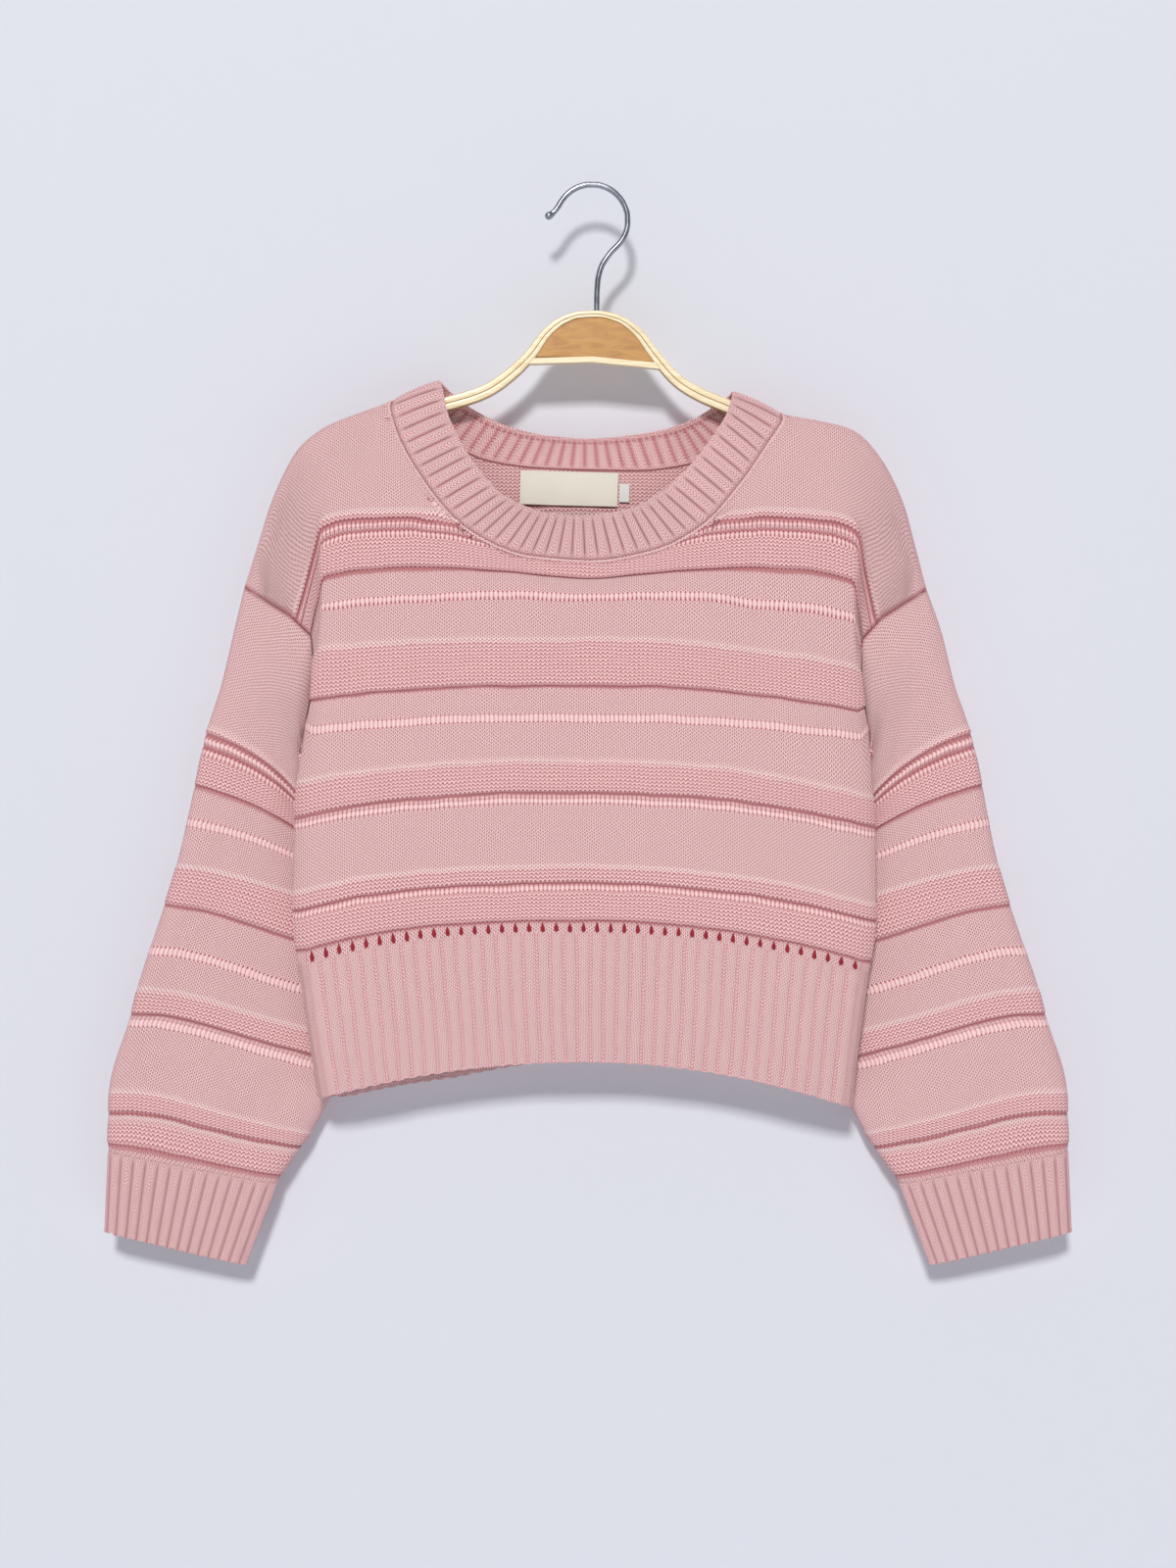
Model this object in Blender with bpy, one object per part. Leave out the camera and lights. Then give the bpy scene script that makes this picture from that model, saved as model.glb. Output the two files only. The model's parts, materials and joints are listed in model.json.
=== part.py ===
"""A child's knitted sweater on a laminated wooden hanger, modelled at its real size.

Metres, +Z up. The front of the sweater faces -Y and +X is the viewer's right. The origin is
the inside of the top of the hook, where a rail would carry the hanger. The tables and sizes
below are in millimetres and are scaled to metres when a mesh is written.

Every cloth piece is a wall: a grid of points on its plain outer surface, an inner surface
set back by the wall's thickness, and welts or ribs that stand proud of the outer one.
"""

import math

import bmesh
import bpy
from mathutils import Vector

MM = 0.001

# Cloth
WALL = 2.0
SEAM_GAP = 0.3
WELT = 1.4
RIB = 1.1

# Body: depth of each panel from the middle plane, and how the side folds are rounded
BODY_DEPTH = 14.0
FOLD_SPAN = 60.0
FOLD_POWER = 2.4
SHOULDER_DEPTH = 8.5
SHOULDER_ROLL = 9.0
HEM_RIBS = 41
HEM_BOTTOM = -591.4
HEM_DROP_LEFT = 25.7
HEM_DROP_RIGHT = 32.0
HEM_LEFT_X = -186.0
HEM_RIGHT_X = 176.0
BACK_HEM_EXTRA = 3.0

# Neckband and cuffs
NECK_RIB_PITCH = 7.7
CUFF_RIBS = 29

# Sleeves are mirrored about this plane, a little left of the hook
MIRROR_X = -2.6

# Hanger
HANGER_THICK = 8.0
STRIP = 4.5
BAR_HEIGHT = 4.6
INFILL_THICK = 6.0
HOOK_WIRE = 2.0
HOOK_RADIUS = 24.4

# Label and size tab inside the back neck
LABEL_SIZE = (66.6, 0.7, 23.0)
LABEL_TILT = math.radians(1.6)
TAB_SIZE = (6.6, 0.7, 12.5)

# The fold at each side of the body, from the hem up: height, left x, right x
FOLD = (
    (-624.0, -186.0, 176.0),
    (-583.0, -191.5, 182.0),
    (-530.0, -199.0, 188.5),
    (-500.0, -203.0, 193.0),
    (-440.0, -202.5, 193.0),
    (-405.0, -200.5, 190.5),
    (-367.0, -194.7, 188.0),
    (-342.0, -190.5, 185.0),
    (-304.0, -190.0, 183.0),
    (-243.0, -184.5, 180.5),
)

# Courses of the body from the hem seam up. Heights at the middle and at the side folds;
# inset from the fold to the first full column; shelf, how far the surface has already come
# forward at the fold; arm, the place on the armhole where the course ends (-1 below it);
# raise, 1 on a purl welt.
COURSES = (
    # name          middle  left    right   inset shelf arm   raise
    ("hem seam", -504.5, -526.0, -531.0, 7.0, 0.0, -1.0, 0.0),
    ("welt 5 foot", -497.6, -517.4, -524.7, 7.0, 0.0, -1.0, 0.0),
    ("welt 5", -495.7, -515.5, -522.7, 7.0, 0.0, -1.0, 1.0),
    ("groove foot", -474.0, -492.4, -499.0, 7.0, 0.0, -1.0, 1.0),
    ("groove", -472.0, -490.4, -497.0, 7.0, 0.0, -1.0, 0.0),
    ("groove head", -470.0, -488.4, -495.0, 7.0, 0.0, -1.0, 1.0),
    ("welt 4 head", -462.7, -480.0, -487.7, 7.0, 0.0, -1.0, 1.0),
    ("ground 4", -459.4, -476.5, -485.0, 7.0, 0.0, -1.0, 0.0),
    ("welt 3 foot", -410.5, -426.4, -432.3, 7.0, 0.0, -1.0, 0.0),
    ("welt 3", -408.5, -424.4, -430.3, 7.0, 0.0, -1.0, 1.0),
    ("welt 3 head", -392.0, -405.0, -413.8, 7.0, 0.0, -1.0, 1.0),
    ("ground 3", -388.7, -402.6, -411.8, 7.0, 0.0, -1.0, 0.0),
    ("underarm", -361.7, -370.0, -374.0, 7.0, 0.0, 0.0, 0.0),
    ("welt 2 foot", -339.2, -347.8, -355.7, 7.0, 2.0, 1.0, 0.0),
    ("welt 2", -337.6, -345.8, -353.8, 7.0, 2.0, 1.06, 1.0),
    ("welt 2 head", -309.5, -314.8, -327.4, 7.0, 3.0, 1.88, 1.0),
    ("ground 2", -306.6, -312.2, -324.7, 7.0, 3.0, 2.0, 0.0),
    ("welt 1 foot", -259.5, -266.5, -270.0, 5.0, 9.0, 3.0, 0.0),
    ("welt 1", -257.6, -264.5, -268.0, 5.0, 9.0, 3.1, 1.0),
    ("welt 1 head", -234.6, -243.5, -246.0, 1.5, 16.0, 3.45, 1.0),
    ("lower ridge foot", -231.8, -240.5, -243.0, 1.5, 17.0, 3.55, 0.0),
    ("lower ridge", -228.8, -237.0, -239.5, 1.5, 18.0, 3.66, 1.0),
    ("upper ridge foot", -225.8, -233.5, -236.0, 1.5, 18.0, 3.77, 0.0),
    ("upper ridge", -222.3, -229.5, -232.0, 1.5, 18.0, 3.88, 1.0),
    ("yoke", -219.4, -226.0, -228.5, 1.5, 18.0, 4.0, 0.0),
)
FIRST_YOKE_COURSE = 19
WELT_1_COURSES = (17, 18)
WELT_1_SAG = 7.8
WELT_1_SAG_WIDTH = 0.3
CURL_LEFT = 2.8
CURL_RIGHT = 2.1
CURL_YOKE = 8.0

# Rows above the yoke course: share of the way to the shoulder, or distance from the seam
YOKE_SHARES = (0.33, 0.62)
ROLL_DISTANCES = (4.5, 1.2)
ROLL_SHARES = (0.12, 0.04)

# The armhole from the underarm up to the shoulder point: left x and height, right x and
# height, depth of front and back, and the way the body's wall faces (x outwards, y away from
# the middle plane, z up) on the front and on the back.
ARMHOLE = (
    (-194.7, -366.3, 188.1, -367.6, 0.0, 0.0, (0.5, 0.0, -0.86), (0.5, 0.0, -0.86)),
    (-191.4, -349.0, 185.4, -353.0, 2.0, 7.5, (0.4, 0.85, -0.3), (0.1, 0.9, -0.4)),
    (-188.8, -319.0, 182.8, -329.0, 3.0, 9.5, (0.35, 0.9, 0.0), (0.0, 1.0, 0.0)),
    (-190.1, -304.3, 182.8, -306.9, 3.5, 10.0, (0.3, 0.95, -0.05), (0.0, 1.0, 0.0)),
    (-203.3, -291.7, 195.4, -293.0, 4.0, 9.0, (0.0, 1.0, 0.0), (0.0, 1.0, 0.0)),
    (-225.7, -277.9, 217.1, -279.2, 5.0, 6.5, (0.2, 0.97, 0.1), (0.2, 0.97, 0.1)),
    (-233.6, -272.6, 225.1, -273.9, 3.5, 4.0, (0.7, 0.65, 0.25), (0.7, 0.65, 0.25)),
    (-235.6, -271.3, 227.0, -272.6, 0.0, 0.0, (0.94, 0.0, 0.33), (0.94, 0.0, 0.33)),
)

# The sleeve folds back against the body below its seam, so there its wall faces inwards:
# the way it faces on the front and on the back, for the first rows of the armhole.
UNDERARM_FACING = (
    ((-1.0, 0.0, -0.2), (-1.0, 0.0, -0.2)),
    ((-0.5, 0.85, 0.0), (-0.7, 0.7, -0.1)),
    ((0.0, 1.0, 0.0), (-0.2, 0.98, 0.0)),
)

# Shoulder seam, from the shoulder point to the neck: place of the column across the body
# (above 1 on the cap of the drop shoulder), left x and height, right x and height, depth.
SHOULDER = (
    (1.3, -235.6, -271.3, 227.0, -272.6, 5.0),
    (1.2, -229.7, -253.4, 222.4, -254.8, 6.0),
    (1.1, -223.7, -235.0, 217.8, -236.3, 7.0),
    (1.0, -218.5, -216.5, 213.2, -219.8, 8.0),
    (0.93, -208.6, -193.4, 205.3, -200.0, SHOULDER_DEPTH),
    (0.86, -198.7, -176.9, 194.0, -180.8, SHOULDER_DEPTH),
    (0.80, -180.8, -162.4, 175.6, -163.7, SHOULDER_DEPTH),
    (0.74, -134.0, -145.2, 127.4, -153.8, SHOULDER_DEPTH),
)

# Neck seam and opening edge: place of the column, left seam and edge, right seam and edge
# (x and height each), depth of seam and edge, lean, how far the wall faces up (degrees),
# fan, how far below the level the column of stitches leaves the seam (degrees), and reach,
# how far it keeps that way.
NECK_FRONT = (
    (0.74, -134.0, -145.2, -103.0, -131.3, 127.4, -153.8, 95.0, -138.6, 0.0, 0.0, 90, 26, 34),
    (0.69, -136.0, -149.5, -101.0, -136.5, 128.5, -158.0, 94.5, -142.5, 7.0, 7.0, 42, 12, 13),
    (0.62, -132.0, -165.0, -98.3, -150.5, 119.5, -173.0, 91.7, -152.5, 9.5, 9.0, 8, 24, 12),
    (0.50, -114.8, -197.3, -84.0, -181.0, 99.0, -203.0, 73.0, -181.5, 11.5, 11.0, 0, 37, 9),
    (0.34, -83.2, -233.0, -56.0, -212.0, 73.0, -231.0, 47.0, -207.5, 13.0, 12.5, 0, 56, 5),
    (0.17, -42.2, -250.8, -29.0, -222.0, 40.0, -247.5, 25.1, -219.1, 13.5, 13.0, 0, 78, 3),
    (0.00, -0.5, -254.1, -3.5, -223.7, -0.5, -254.1, -3.5, -223.7, 13.5, 13.0, 0, 90, 3),
)
NECK_BACK = (
    (0.74, -134.0, -145.2, -103.0, -131.3, 127.4, -153.8, 95.0, -138.6, 0.0, 0.0, 90, 45, 20),
    (0.69, -132.0, -148.8, -99.0, -134.5, 125.0, -157.3, 93.0, -140.5, 7.0, 7.5, 42, 42, 14),
    (0.62, -122.0, -158.0, -93.7, -139.3, 114.0, -164.0, 86.5, -144.5, 9.5, 11.0, 8, 53, 12),
    (0.50, -99.0, -172.0, -80.5, -148.5, 92.0, -173.5, 71.3, -153.8, 12.0, 14.5, 0, 62, 10),
    (0.34, -71.0, -184.5, -56.0, -159.7, 64.0, -187.5, 53.5, -160.4, 13.5, 17.0, 0, 73, 8),
    (0.17, -38.0, -189.4, -29.0, -165.7, 32.0, -191.3, 24.0, -165.7, 13.5, 18.0, 0, 85, 6),
    (0.00, -2.0, -190.9, -2.6, -167.6, -2.0, -190.9, -2.6, -167.6, 13.5, 18.0, 0, 90, 6),
)
SHOULDER_FACING = (0.37, 0.93)

# Sleeve sections, left sleeve: outer edge x and height, inner edge x and height, bow of the
# section upwards, middle depth at the outer and at the inner edge, half depth.
SLEEVE = (
    (-243.0, -302.0, -200.0, -384.0, 17.0, 1.0, 3.0, 7.5),
    (-252.1, -337.0, -202.0, -408.0, 12.0, 2.5, 12.0, 9.0),
    (-262.7, -369.0, -196.0, -429.0, 10.0, 4.0, 19.5, 9.0),
    (-270.6, -405.9, -178.0, -455.0, 7.0, 5.5, 26.0, 9.0),
    (-282.5, -460.0, -163.7, -494.0, 3.0, 7.0, 27.0, 9.0),
    (-290.4, -486.4, -162.5, -524.0, 1.0, 7.0, 27.0, 9.0),
    (-309.5, -544.5, -167.7, -579.5, 0.0, 7.0, 26.5, 9.0),
    (-313.5, -561.0, -171.0, -594.7, 0.0, 7.0, 26.0, 9.0),
    (-328.7, -613.1, -192.7, -643.5, 0.0, 8.0, 22.0, 9.0),
    (-329.5, -628.3, -198.7, -652.7, 0.0, 8.5, 20.0, 9.0),
    (-330.3, -649.4, -212.5, -672.5, 0.0, 9.0, 17.0, 8.5),
    (-329.0, -654.5, -215.5, -677.5, 0.0, 9.0, 16.0, 8.0),
)
END_FOLD = 13.0
END_BELLY = 0.12
CUFF_END = (-331.3, -708.8, -236.3, -732.6, 0.0, 8.0, 14.0, 7.0)

# Courses of the sleeve: height on the outer edge, and 1 on a purl welt
SLEEVE_COURSES = (
    (-302.0, 0.0),
    (-337.0, 0.0),
    (-366.5, 0.0),
    (-369.0, 1.0),
    (-371.5, 0.0),
    (-375.5, 1.0),
    (-379.0, 0.0),
    (-381.5, 1.0),
    (-404.0, 1.0),
    (-406.0, 0.0),
    (-458.5, 0.0),
    (-462.0, 1.0),
    (-485.0, 1.0),
    (-487.0, 0.0),
    (-543.0, 0.0),
    (-547.0, 1.0),
    (-559.5, 1.0),
    (-561.5, 0.0),
    (-611.0, 0.0),
    (-615.0, 1.0),
    (-626.0, 1.0),
    (-628.3, 0.0),
    (-630.5, 1.0),
    (-647.5, 1.0),
    (-649.5, 0.0),
    (-654.5, 0.0),
)
SECTION_PLACES = (0.0, 0.03, 0.12, 0.36, 0.62, 0.84, 0.95, 1.0)

# Top edge of the hanger's bow, left to right: x and height
BOW = (
    (-186.0, -173.0),
    (-167.0, -163.0),
    (-136.0, -151.2),
    (-99.0, -142.6),
    (-74.0, -134.6),
    (-55.4, -122.0),
    (-44.0, -111.0),
    (-33.0, -97.0),
    (-19.8, -87.6),
    (-7.3, -84.3),
    (3.3, -84.0),
    (18.5, -87.0),
    (33.7, -97.0),
    (45.0, -111.0),
    (61.4, -128.7),
    (74.6, -136.6),
    (93.0, -144.2),
    (129.0, -160.8),
    (162.0, -166.0),
    (179.0, -173.0),
)
BOW_STEPS = 3
BAR_LEFT_TOP = -116.4
BAR_RIGHT_TOP = -118.6

# Hook wire: the round from the tip side to the stem side in degrees, then the stem's points
HOOK_ARC = (146.0, -32.0)
HOOK_TIP = ((-31.8, -20.2), (-28.6, -18.9), (-24.6, -15.4))
HOOK_STEM = ((11.6, -45.6), (6.2, -54.5), (4.0, -64.0), (3.4, -75.0), (3.3, -83.6))
TIP_SWELL = (1.3, 1.35, 1.0)


def clamp(value):
    return max(0.0, min(1.0, value))


def mix(a, b, share):
    return a + (b - a) * share


def ease(value):
    value = clamp(value)
    return value * value * (3.0 - 2.0 * value)


def rounded(distance, radius):
    """0 at an edge, 1 from radius inwards, along a quarter circle."""
    return math.sqrt(1.0 - (1.0 - clamp(distance / radius)) ** 2)


def look_up(table, key, column):
    """Value of a column at a key between the rows of a table sorted by its first column."""
    rows = sorted(table)
    for low, high in zip(rows, rows[1:]):
        if key <= high[0]:
            share = clamp((key - low[0]) / (high[0] - low[0]))
            return mix(low[column], high[column], share)
    return rows[-1][column]


def unit(vector):
    return Vector(vector).normalized()


def material(name, colour, roughness, metallic=0.0):
    made = bpy.data.materials.new(name)
    made.use_nodes = True
    shader = made.node_tree.nodes["Principled BSDF"]
    shader.inputs["Base Color"].default_value = (*colour, 1.0)
    shader.inputs["Roughness"].default_value = roughness
    shader.inputs["Metallic"].default_value = metallic
    made.diffuse_color = (*colour, 1.0)
    return made


def place(name, mesh, surface):
    """Adds a mesh to the sweater's collection as a named object with its material."""
    mesh.materials.append(surface)
    made = bpy.data.objects.new(name, mesh)
    collection.objects.link(made)
    return made


def wall(name, surface, base, facing, raised, closed=False):
    """Closed wall from a grid of outer points, the way each faces, and how far it is raised."""
    mesh = bmesh.new()
    rows = len(base)
    columns = len(base[0])
    outer = []
    inner = []
    for points, ways, lifts in zip(base, facing, raised):
        outer.append([mesh.verts.new((p + w * h) * MM) for p, w, h in zip(points, ways, lifts)])
        inner.append([mesh.verts.new((p - w * WALL) * MM) for p, w in zip(points, ways)])
    spans = columns if closed else columns - 1
    for i in range(rows - 1):
        for j in range(spans):
            k = (j + 1) % columns
            mesh.faces.new((outer[i][j], outer[i][k], outer[i + 1][k], outer[i + 1][j]))
            mesh.faces.new((inner[i][j], inner[i + 1][j], inner[i + 1][k], inner[i][k]))
    for i in (0, rows - 1):
        for j in range(spans):
            k = (j + 1) % columns
            mesh.faces.new((outer[i][j], inner[i][j], inner[i][k], outer[i][k]))
    if not closed:
        for j in (0, columns - 1):
            for i in range(rows - 1):
                mesh.faces.new((outer[i][j], outer[i + 1][j], inner[i + 1][j], inner[i][j]))
    bmesh.ops.recalc_face_normals(mesh, faces=mesh.faces)
    data = bpy.data.meshes.new(name)
    mesh.to_mesh(data)
    mesh.free()
    data.shade_smooth()
    data.set_sharp_from_angle(angle=math.radians(35))
    return place(name, data, surface)


def grid_facing(base, outwards, closed=False):
    """Way that each grid point faces, from the faces round it; outwards is 1 or -1."""
    rows = len(base)
    columns = len(base[0])
    total = [[Vector() for _ in range(columns)] for _ in range(rows)]
    for i in range(rows - 1):
        for j in range(columns if closed else columns - 1):
            k = (j + 1) % columns
            across = base[i][k] - base[i][j] + base[i + 1][k] - base[i + 1][j]
            up = base[i + 1][j] - base[i][j] + base[i + 1][k] - base[i][k]
            way = across.cross(up).normalized() * outwards
            for a, b in ((i, j), (i, k), (i + 1, j), (i + 1, k)):
                total[a][b] += way
    return [[way.normalized() for way in row] for row in total]


# Front and back panels -----------------------------------------------------------------

MAIN_PLACES = (1.0, 0.93, 0.86, 0.80, 0.74, 0.69, 0.62, 0.50, 0.34, 0.17)
CAP_COLUMNS = 3
CAP_NARROW = (0.0, 0.09, 0.4)
CAP_WIDE = (0.0, 0.4, 0.75)
CAP_WIDE_AT = 50.0
FAN_REACH = 0.3


def armhole_point(arm, right, back):
    """Outer point of the armhole and the way the wall faces there."""
    low = min(int(arm), len(ARMHOLE) - 2)
    share = arm - low
    points = []
    ways = []
    for row in ARMHOLE[low : low + 2]:
        x, z = row[2:4] if right else row[0:2]
        depth = row[5] if back else row[4]
        way = row[7] if back else row[6]
        points.append(Vector((x, depth if back else -depth, z)))
        out = way[0] if right else -way[0]
        ways.append(unit((out, way[1] if back else -way[1], way[2])))
    return points[0].lerp(points[1], share), ways[0].lerp(ways[1], share)


def fold_x(z, right):
    return look_up(FOLD, z, 2 if right else 1)


def front_depth(distance):
    """Depth of a panel at a distance inside the fold."""
    inside = 1.0 - clamp(distance / FOLD_SPAN)
    return BODY_DEPTH * math.sqrt(1.0 - inside**FOLD_POWER)


def top_points(back):
    """Top of each column, left to right: point, way it faces, depth below it, way it leaves."""
    neck = NECK_BACK if back else NECK_FRONT
    side = 1.0 if back else -1.0
    half = {}
    for right in (False, True):
        column = 3 if right else 1
        out = 1.0 if right else -1.0
        made = []
        for index, row in enumerate(SHOULDER[:-1]):
            before = SHOULDER[max(index - 1, 0)]
            after = SHOULDER[index + 1]
            run = abs(after[column] - before[column])
            rise = after[column + 1] - before[column + 1]
            point = Vector((row[column], 0.0, row[column + 1]))
            way = unit((out * rise, 0.0, run))
            made.append((point, way, row[5], None))
        for row in neck:
            x, z = row[5:7] if right else row[1:3]
            lean = math.radians(row[11])
            way = (
                out * SHOULDER_FACING[0] * math.sin(lean),
                side * math.cos(lean),
                SHOULDER_FACING[1] * math.sin(lean),
            )
            point = Vector((x, side * row[9], z))
            fan = math.radians(row[12])
            leave = Vector((out * math.cos(fan), 0.0, -math.sin(fan)))
            made.append((point, unit(way), SHOULDER_DEPTH, leave * row[13]))
        half[right] = made
    return half[False] + half[True][-2::-1]


def course_height(index, place_across, back):
    """Height of a course at a place across the body, from -1 at the left fold to 1."""
    _, middle, left, right = COURSES[index][:4]
    end = right if place_across > 0 else left
    curl = CURL_RIGHT if place_across > 0 else CURL_LEFT
    if index >= WELT_1_COURSES[0]:
        curl = CURL_YOKE
    height = mix(middle, end, abs(place_across) ** curl)
    if index in WELT_1_COURSES and not back:
        height -= WELT_1_SAG * math.exp(-((place_across / WELT_1_SAG_WIDTH) ** 2))
    return height


def course_points(index, back, tops, below):
    """Outer points of one course and its raise at each column."""
    _, _, left_z, right_z, inset, shelf, arm, raised = COURSES[index]
    side = 1.0 if back else -1.0
    if back and arm > 0:
        shelf = 30.0
    left = fold_x(left_z, False) + inset
    right = fold_x(right_z, True) - inset
    places = [-p for p in MAIN_PLACES] + [0.0] + list(reversed(MAIN_PLACES))
    points = []
    lifts = []
    for column, across in enumerate(places, start=CAP_COLUMNS):
        z = course_height(index, across, back)
        x = mix(left, right, (across + 1.0) / 2.0)
        lift = raised * WELT
        if index >= FIRST_YOKE_COURSE:
            top = tops[column][0]
            start = below[column]
            crowded = course_height(len(COURSES) - 1, across, back) > mix(start.z, top.z, 0.55)
            limit = mix(start.z, top.z, 0.12 + 0.08 * (index - FIRST_YOKE_COURSE))
            if crowded and z > limit:
                z = limit
                lift = 0.0
            lean = clamp((1.0 - abs(across)) / 0.3)
            x = mix(x, top.x, lean * clamp((z - start.z) / (top.z - start.z)))
        distance = inset + shelf + (1.0 - abs(across)) * (right - left) / 2.0
        points.append(Vector((x, side * front_depth(distance), z)))
        lifts.append(lift)
    for on_right in (False, True):
        turn = points[-1] if on_right else points[0]
        if arm < 0:
            end_z = turn.z - 1.0
            end = Vector((fold_x(end_z, on_right), side * SEAM_GAP / 2.0, end_z))
        else:
            end = armhole_point(arm, on_right, back)[0]
            if arm == 0:
                end.y = side * SEAM_GAP / 2.0
        wide = clamp((turn - end).length / CAP_WIDE_AT - 0.15)
        cap = []
        for narrow, broad in zip(CAP_NARROW, CAP_WIDE):
            share = mix(narrow, broad, wide)
            point = end.lerp(turn, share)
            point.y = mix(end.y, turn.y, share ** mix(0.5, 2.2, wide))
            cap.append(point)
        cap_lift = raised * WELT
        if on_right:
            points = points + cap[::-1]
            lifts = lifts + [cap_lift] * (CAP_COLUMNS - 1) + [0.0]
        else:
            points = cap + points
            lifts = [0.0] + [cap_lift] * (CAP_COLUMNS - 1) + lifts
    return points, lifts


def fanned(top, leave, low, share):
    """Point on the curve that leaves the top one way and reaches the low point from above."""
    first = top + leave
    second = low + Vector((0.0, 0.0, FAN_REACH * (top - low).length))
    rest = 1.0 - share
    return (top * rest**3 + first * (3.0 * rest**2 * share)
            + second * (3.0 * rest * share**2) + low * share**3)


def yoke_rows(yoke, tops, back):
    """Rows from the yoke course up to the shoulder and neck seams."""
    side = 1.0 if back else -1.0
    columns = len(yoke)
    rows = []
    count = len(YOKE_SHARES) + len(ROLL_DISTANCES) + 1
    for step in range(count):
        row = []
        for column in range(columns):
            top, _, depth, leave = tops[column]
            length = (top - yoke[column]).length
            if step < len(YOKE_SHARES):
                left_over = (1.0 - YOKE_SHARES[step]) * length
            elif step < count - 1:
                roll = step - len(YOKE_SHARES)
                left_over = min(ROLL_DISTANCES[roll], ROLL_SHARES[roll] * length)
            else:
                left_over = 0.0
            point = top.lerp(yoke[column], left_over / length)
            if leave is not None and step >= len(YOKE_SHARES):
                point = top + leave.normalized() * left_over
            elif leave is not None:
                point = fanned(top, leave, yoke[column], left_over / length)
            over_neck = abs(top.y) > 1.0
            full = mix(abs(top.y), abs(yoke[column].y), 0.3) if over_neck else depth
            if left_over < SHOULDER_ROLL:
                out = mix(abs(top.y), full, rounded(left_over, SHOULDER_ROLL))
            else:
                rest = (left_over - SHOULDER_ROLL) / max(length - SHOULDER_ROLL, 1.0)
                out = mix(full, abs(yoke[column].y), ease(rest))
            if step == count - 1 and not over_neck:
                out = SEAM_GAP / 2.0
            point.y = side * out
            row.append(point)
        for on_right in (False, True):
            arm = (4.33, 4.67, 5.0, 6.0, 7.0)[step]
            end = armhole_point(arm, on_right, back)[0]
            if step == count - 1:
                end.y = side * SEAM_GAP / 2.0
            row[-1 if on_right else 0] = end
        rows.append(row)
    return rows


def body_panel(back):
    """Grid of one panel: outer points, the way they face, and their raise."""
    side = 1.0 if back else -1.0
    tops = top_points(back)
    base = []
    raised = []
    for index in range(len(COURSES)):
        below = base[FIRST_YOKE_COURSE - 1] if index >= FIRST_YOKE_COURSE else None
        points, lifts = course_points(index, back, tops, below)
        base.append(points)
        raised.append(lifts)
    for row in yoke_rows(base[-1], tops, back):
        base.append(row)
        raised.append([0.0] * len(row))
    facing = grid_facing(base, -side)
    for i, row in enumerate(facing):
        arm = COURSES[i][6] if i < len(COURSES) else (4.33, 4.67, 5.0, 6.0, 7.0)[i - len(COURSES)]
        for on_right in (False, True):
            column = -1 if on_right else 0
            if arm < 0:
                row[column] = Vector((1.0 if on_right else -1.0, 0.0, 0.0))
            else:
                row[column] = armhole_point(arm, on_right, back)[1]
    for column in range(1, len(tops) - 1):
        facing[-1][column] = tops[column][1]
        flat = facing[0][column]
        facing[0][column] = unit((flat.x, flat.y, 0.0))
        if abs(tops[column][1].y) > 0.9:
            for row in facing[FIRST_YOKE_COURSE:]:
                row[column] = unit(row[column].lerp(tops[column][1], 0.7))
    return base, facing, raised


def hem_rib(name, back, surface, seam, seam_facing):
    """Ribbed hem hanging from the panel's lowest course."""
    side = 1.0 if back else -1.0
    lengths = [0.0]
    for a, b in zip(seam, seam[1:]):
        lengths.append(lengths[-1] + (b - a).length)
    steps = 2 * HEM_RIBS
    middle_x = (HEM_LEFT_X + HEM_RIGHT_X) / 2.0
    seam_middle = (seam[0].x + seam[-1].x) / 2.0
    stretch = (HEM_RIGHT_X - HEM_LEFT_X) / (seam[-1].x - seam[0].x)
    rows = [[], [], []]
    facing = [[], [], []]
    raised = [[], [], []]
    for step in range(steps + 1):
        at = lengths[-1] * step / steps
        index = max(i for i, length in enumerate(lengths[:-1]) if length <= at)
        share = (at - lengths[index]) / (lengths[index + 1] - lengths[index])
        top = seam[index].lerp(seam[index + 1], share)
        way = seam_facing[index].lerp(seam_facing[index + 1], share)
        if step in (0, steps):
            top = seam[0 if step == 0 else -1].copy()
        x = middle_x + (top.x - seam_middle) * stretch
        across = 2.0 * (x - middle_x) / (HEM_RIGHT_X - HEM_LEFT_X)
        drop = HEM_DROP_RIGHT if across > 0 else HEM_DROP_LEFT
        z = HEM_BOTTOM - drop * across * across
        if back:
            z -= BACK_HEM_EXTRA * (1.0 - across * across) * (1.0 if across < 0 else 0.4)
        low = Vector((x, top.y, z))
        top = top - Vector((0.0, 0.0, SEAM_GAP))
        belly = top.lerp(low, 0.5)
        if step not in (0, steps):
            low.y += side * 0.5
            belly.y += side * 0.8
        for row, point in zip(rows, (top, belly, low)):
            row.append(point)
        lift = RIB if step % 2 else 0.0
        for row, lifts in zip(facing, raised):
            row.append(way)
            lifts.append(lift)
    return wall(name, surface, rows, facing, raised)


# Sleeves and cuffs ---------------------------------------------------------------------


def section_at(outer_z):
    """Sleeve section whose outer edge is at a height."""
    return [outer_z if c == 1 else look_up([(r[1], *r) for r in SLEEVE], outer_z, c + 1)
            for c in range(8)]


def section_point(section, share, side, right):
    """Point of a section: share of the way from outer to inner edge, side -1 front or 1 back."""
    outer = Vector((section[0], 0.0, section[1]))
    inner = Vector((section[2], 0.0, section[3]))
    chord = inner - outer
    belly = 1.0 - END_BELLY * (2.0 * share - 1.0) ** 2
    swell = side * belly * rounded(min(share, 1.0 - share) * chord.length, END_FOLD)
    upward = unit((-chord.z, 0.0, chord.x))
    point = outer + chord * share + upward * section[4] * 4.0 * share * (1.0 - share)
    point.y = mix(section[5], section[6], share) + swell * section[7]
    if right:
        point.x = 2.0 * MIRROR_X - point.x
    return point


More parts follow.
